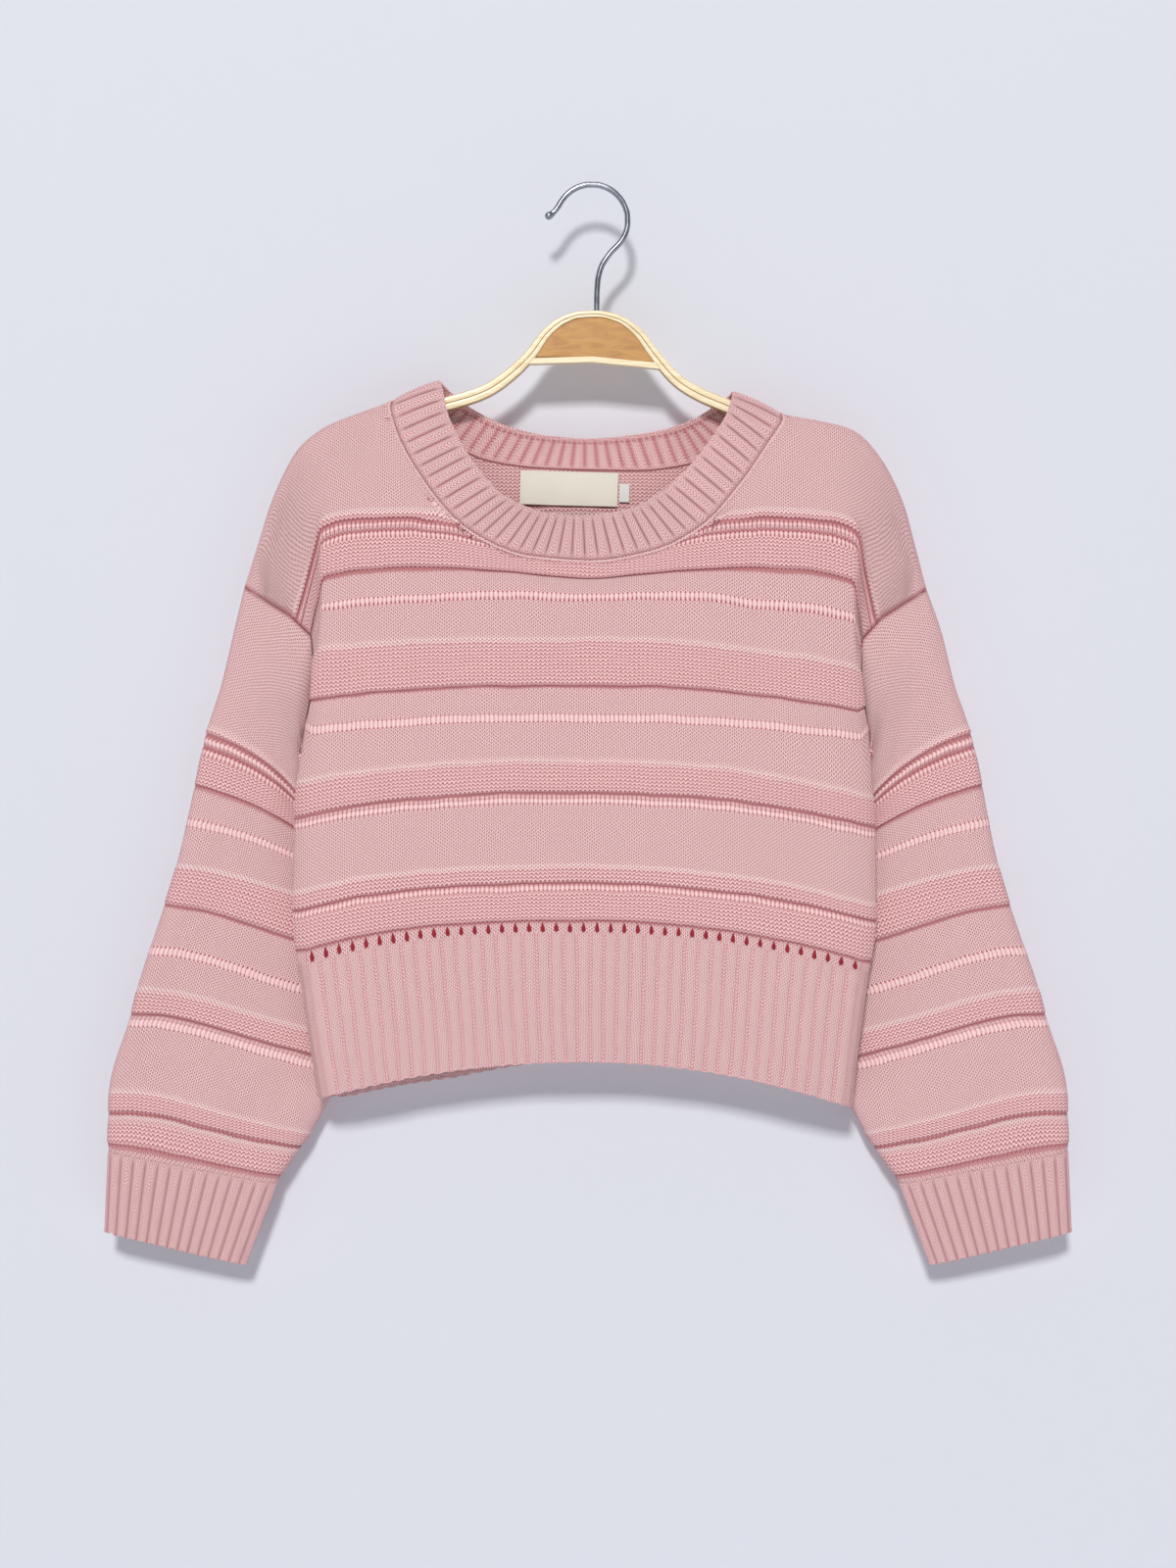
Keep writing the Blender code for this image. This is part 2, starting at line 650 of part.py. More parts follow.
def section_ring(section, shares, right):
    """Ring of outer points: along the front to the inner edge, and back along the back."""
    ring = []
    for side in (-1.0, 1.0):
        run = shares if side < 0 else shares[-2:0:-1]
        ring.extend(section_point(section, share, side, right) for share in run)
    return ring


def section_facing(section, shares, right):
    """Way that each point of a section's ring faces."""
    chord = Vector((section[2] - section[0], section[6] - section[5], section[3] - section[1]))
    across = chord.normalized()
    deep = unit(Vector((0.0, 1.0, 0.0)) - across * across.y)
    ways = []
    for side in (-1.0, 1.0):
        run = shares if side < 0 else shares[-2:0:-1]
        for share in run:
            from_end = clamp(min(share, 1.0 - share) * chord.length / END_FOLD)
            tip = (1.0 - from_end) / END_FOLD * (1.0 if share > 0.5 else -1.0)
            flank = math.sqrt(1.0 - (1.0 - from_end) ** 2) / section[7]
            way = unit(across * tip + deep * flank * side)
            if right:
                way.x = -way.x
            ways.append(way)
    return ways


def even_ring(ring, count):
    """Points evenly spaced round a closed ring."""
    lengths = [0.0]
    for a, b in zip(ring, ring[1:] + ring[:1]):
        lengths.append(lengths[-1] + (b - a).length)
    points = []
    for step in range(count):
        at = lengths[-1] * step / count
        index = max(i for i, length in enumerate(lengths[:-1]) if length <= at)
        share = (at - lengths[index]) / (lengths[index + 1] - lengths[index])
        points.append(ring[index].lerp(ring[(index + 1) % len(ring)], share))
    return points


def tube_facing(rings):
    """Way the outer points of a tube face, square to its length at both ends."""
    ways = grid_facing(rings, 1.0, closed=True)
    for ring, row in zip(rings, ways):
        middle = sum(ring, Vector()) / len(ring)
        if sum((p - middle).dot(w) for p, w in zip(ring, row)) < 0:
            for way in row:
                way.negate()
    return ways


def flatten_ring(facing_row, along):
    for way in facing_row:
        way -= along * way.dot(along)
        way.normalize()


def sleeve(name, surface, right):
    """Sleeve tube from the armhole down to the cuff seam."""
    shoulder = []
    seam_facing = []
    shoulder_facing = []
    for arm, back in [(a, False) for a in range(7, -1, -1)] + [(a, True) for a in range(1, 7)]:
        point, way = armhole_point(arm, right, back)
        shoulder.append(point)
        seam_facing.append(way)
        if arm < len(UNDERARM_FACING):
            out, deep, up = UNDERARM_FACING[arm][back]
            way = unit((out if right else -out, deep if back else -deep, up))
        shoulder_facing.append(way)
    rings = [list(shoulder)]
    raised = [[0.0] * len(shoulder)]
    facing = [shoulder_facing]
    for outer_z, raise_here in SLEEVE_COURSES:
        section = section_at(outer_z)
        rings.append(section_ring(section, SECTION_PLACES, right))
        facing.append(section_facing(section, SECTION_PLACES, right))
        raised.append([raise_here * WELT] * len(shoulder))
    for index, (point, way) in enumerate(zip(list(shoulder), seam_facing)):
        along = shoulder[(index + 1) % len(shoulder)] - shoulder[index - 1]
        off = along.cross(way).normalized()
        if (off.x > 0.0) != right:
            off.negate()
        rings[0][index] = point + off * SEAM_GAP * 1.3
    return wall(name, surface, rings, facing, raised, closed=True)


def sleeve_end_direction(right):
    """Way down the sleeve at the cuff seam, square to the seam."""
    section = SLEEVE[-1]
    run = section[2] - section[0]
    drop = section[3] - section[1]
    return unit(((drop if not right else -drop), 0.0, -run))


def cuff(name, surface, right):
    """Ribbed cuff below the sleeve."""
    count = 2 * CUFF_RIBS
    down = sleeve_end_direction(right)
    ends = (list(SLEEVE[-1]), list(CUFF_END))
    middle = [mix(a, b, 0.45) for a, b in zip(*ends)]
    fine = [(1.0 - math.cos(math.pi * step / 40)) / 2.0 for step in range(41)]
    rings = [even_ring(section_ring(section, fine, right), count) for section in
             (ends[0], middle, ends[1])]
    rings[0] = [p + down * SEAM_GAP for p in rings[0]]
    facing = tube_facing(rings)
    flatten_ring(facing[0], down)
    lifts = [RIB if step % 2 else 0.0 for step in range(count)]
    return wall(name, surface, rings, facing, [lifts, lifts, lifts], closed=True)


# Neckband ------------------------------------------------------------------------------


def neck_stations():
    """Stations round the neck: seam point, edge point, way the wall faces."""
    stations = []
    runs = (
        (NECK_FRONT, False, -1.0),
        (tuple(reversed(NECK_FRONT[:-1])), True, -1.0),
        (NECK_BACK[1:], True, 1.0),
        (tuple(reversed(NECK_BACK[1:-1])), False, 1.0),
    )
    for rows, right, side in runs:
        out = 1.0 if right else -1.0
        for row in rows:
            seam = Vector((row[5] if right else row[1], side * row[9], row[6] if right else row[2]))
            edge = Vector((row[7] if right else row[3], side * row[10], row[8] if right else row[4]))
            lean = math.radians(row[11])
            way = unit((out * SHOULDER_FACING[0] * math.sin(lean), side * math.cos(lean),
                        SHOULDER_FACING[1] * math.sin(lean)))
            stations.append((seam + unit(edge - seam) * SEAM_GAP, edge, way))
    return stations


def neckband(surface):
    """Ribbed neckband, one ring from the neck seam to the opening's edge."""
    stations = neck_stations()
    rows = [[], [], []]
    facing = [[], [], []]
    raised = [[], [], []]
    for here, ahead in zip(stations, stations[1:] + stations[:1]):
        length = (ahead[0] - here[0]).length
        steps = 2 * max(1, round(length / NECK_RIB_PITCH))
        for step in range(steps):
            share = step / steps
            seam = here[0].lerp(ahead[0], share)
            edge = here[1].lerp(ahead[1], share)
            way = here[2].lerp(ahead[2], share)
            middle = seam.lerp(edge, 0.5) + way * 1.2
            for row, point in zip(rows, (seam, middle, edge)):
                row.append(point)
            for ways, lifts, share_of_rib in zip(facing, raised, (1.0, 1.0, 0.7)):
                ways.append(way)
                lifts.append(RIB * share_of_rib if step % 2 else 0.0)
    return wall("neckband", surface, rows, facing, raised, closed=True)


# Hanger --------------------------------------------------------------------------------


def smooth_path(points, steps):
    """Smooth curve through points of x and height, with steps to each stretch."""
    ends = [points[0], *points, points[-1]]
    path = []
    for a, b, c, d in zip(ends, ends[1:], ends[2:], ends[3:]):
        for step in range(steps):
            t = step / steps
            path.append(tuple(
                0.5 * (2 * q + (r - p) * t + (2 * p - 5 * q + 4 * r - s) * t * t
                       + (3 * q - p - 3 * r + s) * t**3)
                for p, q, r, s in zip(a, b, c, d)
            ))
    path.append(points[-1])
    return path


def offset_path(path, distance):
    """The path moved down, square to itself."""
    moved = []
    for index, (x, z) in enumerate(path):
        before = path[max(index - 1, 0)]
        after = path[min(index + 1, len(path) - 1)]
        along = unit((after[0] - before[0], 0.0, after[1] - before[1]))
        moved.append((x + along.z * distance, z - along.x * distance))
    return moved


def board(name, outline, thickness, surface, bevel=0.0):
    """Flat outline of x and height, as thick as given, about the middle plane."""
    curve = bpy.data.curves.new(name, "CURVE")
    curve.dimensions = "2D"
    curve.fill_mode = "BOTH"
    curve.extrude = (thickness / 2.0 - bevel) * MM
    curve.bevel_depth = bevel * MM
    curve.bevel_resolution = 0
    curve.offset = -bevel * MM
    spline = curve.splines.new("POLY")
    spline.points.add(len(outline) - 1)
    for point, (x, z) in zip(spline.points, outline):
        point.co = (x * MM, z * MM, 0.0, 1.0)
    spline.use_cyclic_u = True
    made = bpy.data.objects.new(name, curve)
    made.rotation_euler = (math.pi / 2.0, 0.0, 0.0)
    curve.materials.append(surface)
    collection.objects.link(made)
    return made


def hanger(wood, honey):
    """Two laminated strips bent to a hump, with a bar and an infill board under it."""
    top = smooth_path(BOW, BOW_STEPS)
    seam = offset_path(top, STRIP)
    seam_below = offset_path(top, STRIP + SEAM_GAP)
    bottom = offset_path(top, 2.0 * STRIP + SEAM_GAP)
    board("hanger_strip_upper", top + seam[::-1], HANGER_THICK, wood)
    board("hanger_strip_lower", seam_below + bottom[::-1], HANGER_THICK, wood)
    inside = offset_path(top, 2.0 * STRIP + 2.0 * SEAM_GAP)
    slope = (BAR_RIGHT_TOP - BAR_LEFT_TOP) / 86.0

    def bar_top(x):
        return BAR_LEFT_TOP + slope * (x + 41.0)

    under = [p for p in inside if p[1] > bar_top(p[0]) + SEAM_GAP]
    left = crossing(inside, bar_top, SEAM_GAP, False)
    right = crossing(inside, bar_top, SEAM_GAP, True)
    board("hanger_infill", [left, *under, right], INFILL_THICK, honey)
    bar = [crossing(inside, bar_top, 0.0, False), crossing(inside, bar_top, 0.0, True),
           crossing(inside, bar_top, -BAR_HEIGHT, True), crossing(inside, bar_top, -BAR_HEIGHT, False)]
    board("hanger_bar", bar, HANGER_THICK, wood)


def crossing(path, level, above, last):
    """Where the path crosses a sloping level, at its first or its last crossing."""
    pairs = list(zip(path, path[1:]))
    for a, b in reversed(pairs) if last else pairs:
        low = a[1] - level(a[0]) - above
        high = b[1] - level(b[0]) - above
        if low * high <= 0.0 and low != high:
            share = low / (low - high)
            return (mix(a[0], b[0], share), mix(a[1], b[1], share))
    return path[0]


def hook(surface):
    """Bent wire hook with a swollen tip; its inner top is the origin."""
    centre_z = HOOK_WIRE - HOOK_RADIUS
    arc = []
    steps = 14
    for step in range(steps + 1):
        angle = math.radians(mix(HOOK_ARC[0], HOOK_ARC[1], step / steps))
        arc.append((HOOK_RADIUS * math.cos(angle), centre_z + HOOK_RADIUS * math.sin(angle)))
    route = [*HOOK_TIP, *arc, *HOOK_STEM]
    curve = bpy.data.curves.new("hook", "CURVE")
    curve.dimensions = "3D"
    curve.bevel_depth = HOOK_WIRE * MM
    curve.bevel_resolution = 2
    curve.use_fill_caps = True
    spline = curve.splines.new("POLY")
    spline.points.add(len(route) - 1)
    for index, (point, (x, z)) in enumerate(zip(spline.points, route)):
        point.co = (x * MM, 0.0, z * MM, 1.0)
        point.radius = TIP_SWELL[index] if index < len(TIP_SWELL) else 1.0
    curve.materials.append(surface)
    made = bpy.data.objects.new("hook", curve)
    collection.objects.link(made)


def tag(name, centre, size, tilt, surface):
    """Thin flat piece of woven tape."""
    bpy.ops.mesh.primitive_cube_add(size=1.0, location=[c * MM for c in centre])
    made = bpy.context.object
    made.name = name
    made.data.name = name
    made.scale = [s * MM for s in size]
    made.rotation_euler = (0.0, tilt, 0.0)
    bpy.ops.object.transform_apply(location=False, rotation=True, scale=True)
    made.data.materials.append(surface)
    for holder in list(made.users_collection):
        holder.objects.unlink(made)
    collection.objects.link(made)


for old in list(bpy.data.objects):
    bpy.data.objects.remove(old, do_unlink=True)
collection = bpy.data.collections.new("sweater_on_hanger")
bpy.context.scene.collection.children.link(collection)

knit = material("pink knit", (0.69, 0.44, 0.46), 0.85)
ribbing = material("pink ribbing", (0.67, 0.41, 0.43), 0.85)
birch = material("birch veneer", (0.83, 0.73, 0.48), 0.45)
ply = material("honey plywood", (0.60, 0.32, 0.10), 0.45)
chrome = material("bright wire", (0.75, 0.77, 0.80), 0.15, 1.0)
tape = material("woven tape", (0.82, 0.80, 0.74), 0.8)

for is_back, panel_name, hem_name in ((False, "front", "hem_front"), (True, "back", "hem_back")):
    grid, ways_out, welts = body_panel(is_back)
    hem_rib(hem_name, is_back, ribbing, grid[0], ways_out[0])
    wall(panel_name, knit, grid, ways_out, welts)
for is_right, word in ((False, "left"), (True, "right")):
    sleeve(f"sleeve_{word}", knit, is_right)
    cuff(f"cuff_{word}", ribbing, is_right)
neckband(ribbing)
tag("label", (-15.6, 10.4, -203.0), LABEL_SIZE, LABEL_TILT, tape)
tag("size_tab", (22.2, 10.4, -206.0), TAB_SIZE, LABEL_TILT, tape)
hanger(birch, ply)
hook(chrome)
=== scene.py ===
import json
import math

import bpy
import numpy as np
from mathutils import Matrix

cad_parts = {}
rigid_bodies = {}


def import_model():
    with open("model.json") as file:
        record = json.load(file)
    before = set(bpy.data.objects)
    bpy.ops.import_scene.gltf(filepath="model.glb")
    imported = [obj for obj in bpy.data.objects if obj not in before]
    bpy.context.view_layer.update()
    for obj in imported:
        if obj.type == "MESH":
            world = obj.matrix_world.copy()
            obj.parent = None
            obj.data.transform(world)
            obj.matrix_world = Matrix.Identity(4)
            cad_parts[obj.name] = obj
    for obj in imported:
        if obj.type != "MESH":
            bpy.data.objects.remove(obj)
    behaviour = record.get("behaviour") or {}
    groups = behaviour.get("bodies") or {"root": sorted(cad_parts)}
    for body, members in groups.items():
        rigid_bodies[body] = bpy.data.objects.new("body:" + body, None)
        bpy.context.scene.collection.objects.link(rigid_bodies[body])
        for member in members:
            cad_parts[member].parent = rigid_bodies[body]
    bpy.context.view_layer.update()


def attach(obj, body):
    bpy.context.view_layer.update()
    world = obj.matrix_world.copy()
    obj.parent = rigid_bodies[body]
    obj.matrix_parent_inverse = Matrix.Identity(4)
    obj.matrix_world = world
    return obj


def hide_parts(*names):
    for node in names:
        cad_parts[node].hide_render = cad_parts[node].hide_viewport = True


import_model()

for loaded in bpy.data.objects:
    loaded.select_set(False)

# Yarn -----------------------------------------------------------------------------------
# The whole sweater is knitted from one matt cotton yarn, dusty pink. The stitches are too
# small to model one by one, so a node group draws them: V-shaped legs on the plain ground,
# rows of bumps on the purl welts, and tall loops where stitches were dropped. Their colour
# carries painted light: a painted highlight on the stitches' crowns and painted shade in the
# gaps between them, at seams, in grooves, in eyelets and in lines under the welts.

MM = 0.001
WALE = 3.0
COURSE = 2.18
# The knit's colours: a painted highlight for stitch crowns and welt tops (also the pale end of the
# linking chain's own uneven tone), the yarn itself, and painted shade
YARN_PALE_AND_HIGHLIGHT = (0.91, 0.74, 0.755, 1.0)
YARN = (0.70, 0.365, 0.385, 1.0)
YARN_IN_SHADE = (0.32, 0.028, 0.048, 1.0)
STITCH_HEIGHT = 0.5
RIB_TROUGH = -0.72
# A colour ramp runs from 0 to 1 over this span of heights, from -RAMP_START spans
RAMP_SPAN = 500.0
RAMP_START = 1.4
KNIT_CONSTANTS = {"Roughness": 0.85, "Sheen Weight": 0.04, "Sheen Roughness": 0.5,
                  "Sheen Tint": (1.0, 0.82, 0.83, 1.0), "Specular IOR Level": 0.1}


def calc(tree, operation, *values):
    """Adds a math node fed by sockets or numbers, and gives its output."""
    node = tree.nodes.new("ShaderNodeMath")
    node.operation = operation
    for socket, value in zip(node.inputs, values):
        if isinstance(value, bpy.types.NodeSocket):
            tree.links.new(value, socket)
        else:
            socket.default_value = value
    return node.outputs[0]


def add_node(tree, kind, inputs=(), **settings):
    """Adds a shader node with its settings, and its inputs by label from sockets or values."""
    node = tree.nodes.new("ShaderNode" + kind)
    for label, value in settings.items():
        setattr(node, label, value)
    for label, value in dict(inputs).items():
        if isinstance(value, bpy.types.NodeSocket):
            tree.links.new(value, node.inputs[label])
        else:
            node.inputs[label].default_value = value
    return node


def new_material(name, constants):
    """New material with constants on its shader; gives the material, its tree and shader."""
    material = bpy.data.materials.new(name)
    material.use_nodes = True
    shader = material.node_tree.nodes["Principled BSDF"]
    for label, value in constants.items():
        shader.inputs[label].default_value = value
    return material, material.node_tree, shader


def mix_colours(tree, share, low, high):
    """Colour between two, each a socket or a value."""
    mixed = add_node(tree, "Mix", {"Factor": share, "A": low, "B": high}, data_type="RGBA")
    return mixed.outputs["Result"]


def noise(tree, vector, scale, detail=2.0, distortion=0.0):
    """Noise texture read along a vector."""
    return add_node(tree, "TexNoise", {"Vector": vector, "Scale": scale, "Detail": detail,
                                       "Distortion": distortion}).outputs


def uv_parts(tree, layer):
    """A piece's own UV map as a vector, and its two parts."""
    layout = add_node(tree, "UVMap", uv_map=layer).outputs["UV"]
    parts = add_node(tree, "SeparateXYZ", {"Vector": layout}).outputs
    return layout, parts["X"], parts["Y"]


def attribute(tree, name):
    """Value of a piece's own attribute."""
    return add_node(tree, "Attribute", attribute_name=name).outputs["Fac"]


def held_between(tree, value):
    """Value kept from 0 to 1."""
    return add_node(tree, "Clamp", {"Value": value}).outputs["Result"]


def raise_surface(tree, shader, height, distance):
    """Bump from a height, with its distance in millimetres."""
    bump = add_node(tree, "Bump", {"Strength": 1.0, "Distance": distance * MM, "Height": height})
    tree.links.new(bump.outputs["Normal"], shader.inputs["Normal"])


def blend_values(tree, share, low, high):
    """Value between two sockets."""
    span = calc(tree, "SUBTRACT", high, low)
    return calc(tree, "MULTIPLY_ADD", span, share, low)


def group_tree(name, inputs, outputs):
    """New shader group with float inputs (name, value) and outputs; gives tree, inputs, outputs."""
    tree = bpy.data.node_groups.new(name, "ShaderNodeTree")
    for label, value in inputs:
        made = tree.interface.new_socket(label, in_out="INPUT", socket_type="NodeSocketFloat")
        made.default_value = value
    for label in outputs:
        tree.interface.new_socket(label, in_out="OUTPUT", socket_type="NodeSocketFloat")
    entry = tree.nodes.new("NodeGroupInput")
    leave = tree.nodes.new("NodeGroupOutput")
    return tree, entry.outputs, leave.inputs


def arch(tree, phase):
    """1 in the middle of each unit of phase and 0 at its ends."""
    centred = calc(tree, "MULTIPLY_ADD", phase, 2.0, -1.0)
    return calc(tree, "SUBTRACT", 1.0, calc(tree, "MULTIPLY", centred, centred))


# Height is the stitches' relief; Gap is how deep a point lies in the hollows between legs, bumps
# and loops, and sets where the knit's painted shade falls
stitches, given, made = group_tree(
    "stitches",
    (("Wale", 0.0), ("Course", 0.0), ("Purl", 0.0), ("Long", 0.0)),
    ("Height", "Gap"),
)
place_in_wale = calc(stitches, "FRACT", given["Wale"])
from_middle = calc(stitches, "ABSOLUTE", calc(stitches, "MULTIPLY_ADD", place_in_wale, 2.0, -1.0))
climb = calc(stitches, "MULTIPLY_ADD", from_middle, -0.9, given["Course"])
leg_length = arch(stitches, calc(stitches, "FRACT", climb))
leg_width = arch(stitches, from_middle)
plain_height = calc(stitches, "POWER", calc(stitches, "MULTIPLY", leg_length, leg_width), 0.35)
plain_gap = calc(stitches, "MULTIPLY", calc(stitches, "SUBTRACT", 1.0, leg_length),
                 calc(stitches, "MULTIPLY_ADD", leg_width, -0.6, 1.0))
plain_gap = calc(stitches, "MULTIPLY_ADD", plain_gap, 1.5, -0.25)
swing = calc(stitches, "COSINE", calc(stitches, "MULTIPLY", given["Wale"], 2.0 * math.pi))
bump_course = calc(stitches, "MULTIPLY_ADD", swing, 0.28,
                   calc(stitches, "MULTIPLY", given["Course"], 0.9))
bump_row = arch(stitches, calc(stitches, "FRACT", bump_course))
bump_height = calc(stitches, "MULTIPLY", calc(stitches, "SQRT", bump_row),
                   calc(stitches, "MULTIPLY_ADD", swing, 0.12, 0.78))
between_bumps = calc(stitches, "POWER", calc(stitches, "SUBTRACT", 1.0, bump_row), 1.5)
bump_gap = calc(stitches, "MULTIPLY", between_bumps,
                calc(stitches, "MULTIPLY_ADD", swing, -0.2, 0.8))
loop_height = calc(stitches, "MULTIPLY_ADD", arch(stitches, place_in_wale), 0.5, 0.45)
loop_end = arch(stitches, given["Long"])
notch = calc(stitches, "MULTIPLY", loop_end, calc(stitches, "POWER", from_middle, 1.5))
loop_gap = calc(stitches, "MULTIPLY_ADD", calc(stitches, "POWER", from_middle, 6.0), 0.3, notch)
knit_height = blend_values(stitches, given["Purl"], plain_height, bump_height)
knit_gap = blend_values(stitches, given["Purl"], plain_gap, bump_gap)
stitches.links.new(blend_values(stitches, given["Long"], knit_height, loop_height), made["Height"])
stitches.links.new(blend_values(stitches, given["Long"], knit_gap, loop_gap), made["Gap"])


def row_mask(tree, level, rows, stops):
    """Value that changes with the knitted row: stops(*row) gives (height in mm, value) pairs."""
    along = calc(tree, "MULTIPLY_ADD", level, 1.0 / RAMP_SPAN, RAMP_START)
    node = add_node(tree, "ValToRGB", {"Fac": along})
    points = node.color_ramp.elements
    for index, (height, value) in enumerate(stop for row in rows for stop in stops(*row)):
        at = height / RAMP_SPAN + RAMP_START
        point = points[index] if index < 2 else points.new(at)
        point.position = at
        point.color = (value, value, value, 1.0)
    return node.outputs["Color"]


# dark holds the heights of painted shadow lines, pale those of painted highlight lines, and holes
# the eyelets, painted as shade
def knit_material(name, tint, gap_share, dark=(), pale=(), purls=(), longs=(), rib=0.0, holes=()):
    """Matt cotton knit: stitches along the piece's own UV map, with painted shade in gaps and
    seams.
    """
    material, tree, shader = new_material(name, KNIT_CONSTANTS)
    layout, across, up = uv_parts(tree, "stitch")
    drift = noise(tree, layout, 0.22)["Color"]
    pull = add_node(tree, "SeparateColor", {"Color": drift}).outputs
    wale = calc(tree, "ADD", across, calc(tree, "MULTIPLY_ADD", pull["Red"], 0.7, -0.35))
    course = calc(tree, "ADD", up, calc(tree, "MULTIPLY_ADD", pull["Green"], 0.9, -0.45))
    level = calc(tree, "MULTIPLY", course, COURSE)
    purl = 0.0
    if purls:
        purl = row_mask(tree, level, purls, lambda low, high: (
            (low - 0.3, 0), (low + 0.3, 1), (high - 0.7, 1), (high + 0.7, 0)))
    elif rib:
        trough = calc(tree, "COSINE", calc(tree, "MULTIPLY", across, 2.0 * math.pi / rib))
        purl = calc(tree, "LESS_THAN", trough, RIB_TROUGH)
    turned = calc(tree, "ABSOLUTE", calc(tree, "SUBTRACT", attribute(tree, "inside"), purl))
    given = {"Wale": wale, "Course": course, "Purl": turned}
    if longs:
        given["Long"] = loops = row_mask(tree, level, longs, lambda middle, reach: (
            (middle - reach - 0.5, 0), (middle - reach + 0.6, 1),
            (middle + reach - 0.8, 1), (middle + reach + 0.5, 0)))
    knit = add_node(tree, "Group", node_tree=stitches)
    for label, value in given.items():
        tree.links.new(value, knit.inputs[label])
    fuzz = noise(tree, layout, 2.6, 3.0)["Fac"]
    height = calc(tree, "MULTIPLY_ADD", fuzz, 0.35, knit.outputs["Height"])
    raise_surface(tree, shader, height, STITCH_HEIGHT)
    # Lighter on the stitches' crowns, a painted highlight, and lighter and darker at random with
    # the fuzz
    lightness = calc(tree, "MULTIPLY_ADD", knit.outputs["Height"], 1.0,
                     calc(tree, "MULTIPLY_ADD", fuzz, 1.3, -0.92))
    if longs:
        lightness = calc(tree, "MULTIPLY_ADD", loops, -0.04, lightness)
    # Painted highlight along the lit top of each welt
    if pale:
        painted_highlight = row_mask(tree, level, [(line,) for line in pale], lambda line: (
            (line - 1.6, 0), (line - 0.5, 1), (line + 0.7, 1), (line + 1.6, 0)))
        lightness = calc(tree, "MULTIPLY_ADD", painted_highlight, 0.45, lightness)
    low, high = (tuple(c * tint for c in colour[:3]) + (1.0,) for colour in (YARN, YARN_PALE_AND_HIGHLIGHT))
    top = mix_colours(tree, held_between(tree, lightness), low, high)
    # Painted shade: in the gaps between stitches, and from the piece's own shade attribute at seams
    # and grooves
    gap = calc(tree, "MAXIMUM", calc(tree, "MULTIPLY", knit.outputs["Gap"], gap_share), 0.0)
    painted_shade = calc(tree, "MAXIMUM", gap, attribute(tree, "shade"))
    if holes:
        # Eyelets: drops with a blunt foot, one a rib, from the "rib" attribute and the height,
        # painted as shade for the shaded inside seen through each hole
        bottom, top_end, rib_width = holes
        tallness = top_end - bottom
        off = calc(tree, "ABSOLUTE", calc(tree, "SUBTRACT", calc(
            tree, "FRACT", calc(tree, "ADD", attribute(tree, "rib"), 0.5)), 0.5))
        tall = calc(tree, "MULTIPLY_ADD", level, 1.0 / tallness, -bottom / tallness)
        round_off = calc(tree, "MULTIPLY", tall, calc(tree, "SUBTRACT", 1.0, tall))
        reach = calc(tree, "MULTIPLY", calc(tree, "SQRT", calc(tree, "MAXIMUM", round_off, 0.0)),
                     calc(tree, "MULTIPLY_ADD", tall, -rib_width, 1.3 * rib_width))
        hole = calc(tree, "MULTIPLY", calc(tree, "SUBTRACT", reach, off), 30.0)
        painted_shade = calc(tree, "MAXIMUM", painted_shade, held_between(tree, hole))
    if dark:
        # Painted shadow lines under the welts and ridges, wavering with the wales
        ripple = calc(tree, "COSINE", calc(tree, "MULTIPLY", wale, 2.0 * math.pi))
        level = calc(tree, "MULTIPLY_ADD", ripple, 0.45, level)
        lines = row_mask(tree, level, [(line,) for line in dark], lambda line: (
            (line - 2.2, 0), (line - 1.5, 0.8), (line + 0.1, 0.8), (line + 0.8, 0)))
        painted_shade = calc(tree, "MAXIMUM", painted_shade, lines)
    tree.links.new(mix_colours(tree, painted_shade, top, YARN_IN_SHADE), shader.inputs["Base Color"])
    return material


# Front and back panels ------------------------------------------------------------------
# Each is knitted to shape in one piece, with purl welts that stand proud, rows of dropped
# stitches, and a double ridge at the yoke. The sides fold where front meets back, and the
# drop shoulder turns down past the hanger's end. Rows of the mesh are rows of the knitting.

WALL = 1.8
WELT = 1.4
SEAM_GAP = 0.3
KNIT_SMOOTH = math.radians(60)
BODY_DEPTH = 14.0
FOLD_SPAN = 60.0
FOLD_POWER = 2.4
SHOULDER_DEPTH = 8.5
SHOULDER_ROLL = 9.0
EYELETS = 41
PANEL_ROW = 2.3
RIB_COLUMNS = 6
EYELET_BOTTOM = -504.3
EYELET_TOP = -497.4
EYELET_WIDTH = 0.4

# The fold at each side of the body, from the hem up: height, left x, right x
FOLD = (
    (-624.0, -186.0, 176.0),
    (-583.0, -191.5, 182.0),
    (-530.0, -199.0, 188.5),
    (-500.0, -203.0, 193.0),
    (-440.0, -202.5, 193.0),
    (-405.0, -200.5, 190.5),
    (-367.0, -194.7, 188.0),
    (-342.0, -190.5, 185.0),
    (-304.0, -190.0, 183.0),
    (-243.0, -184.5, 180.5),
)

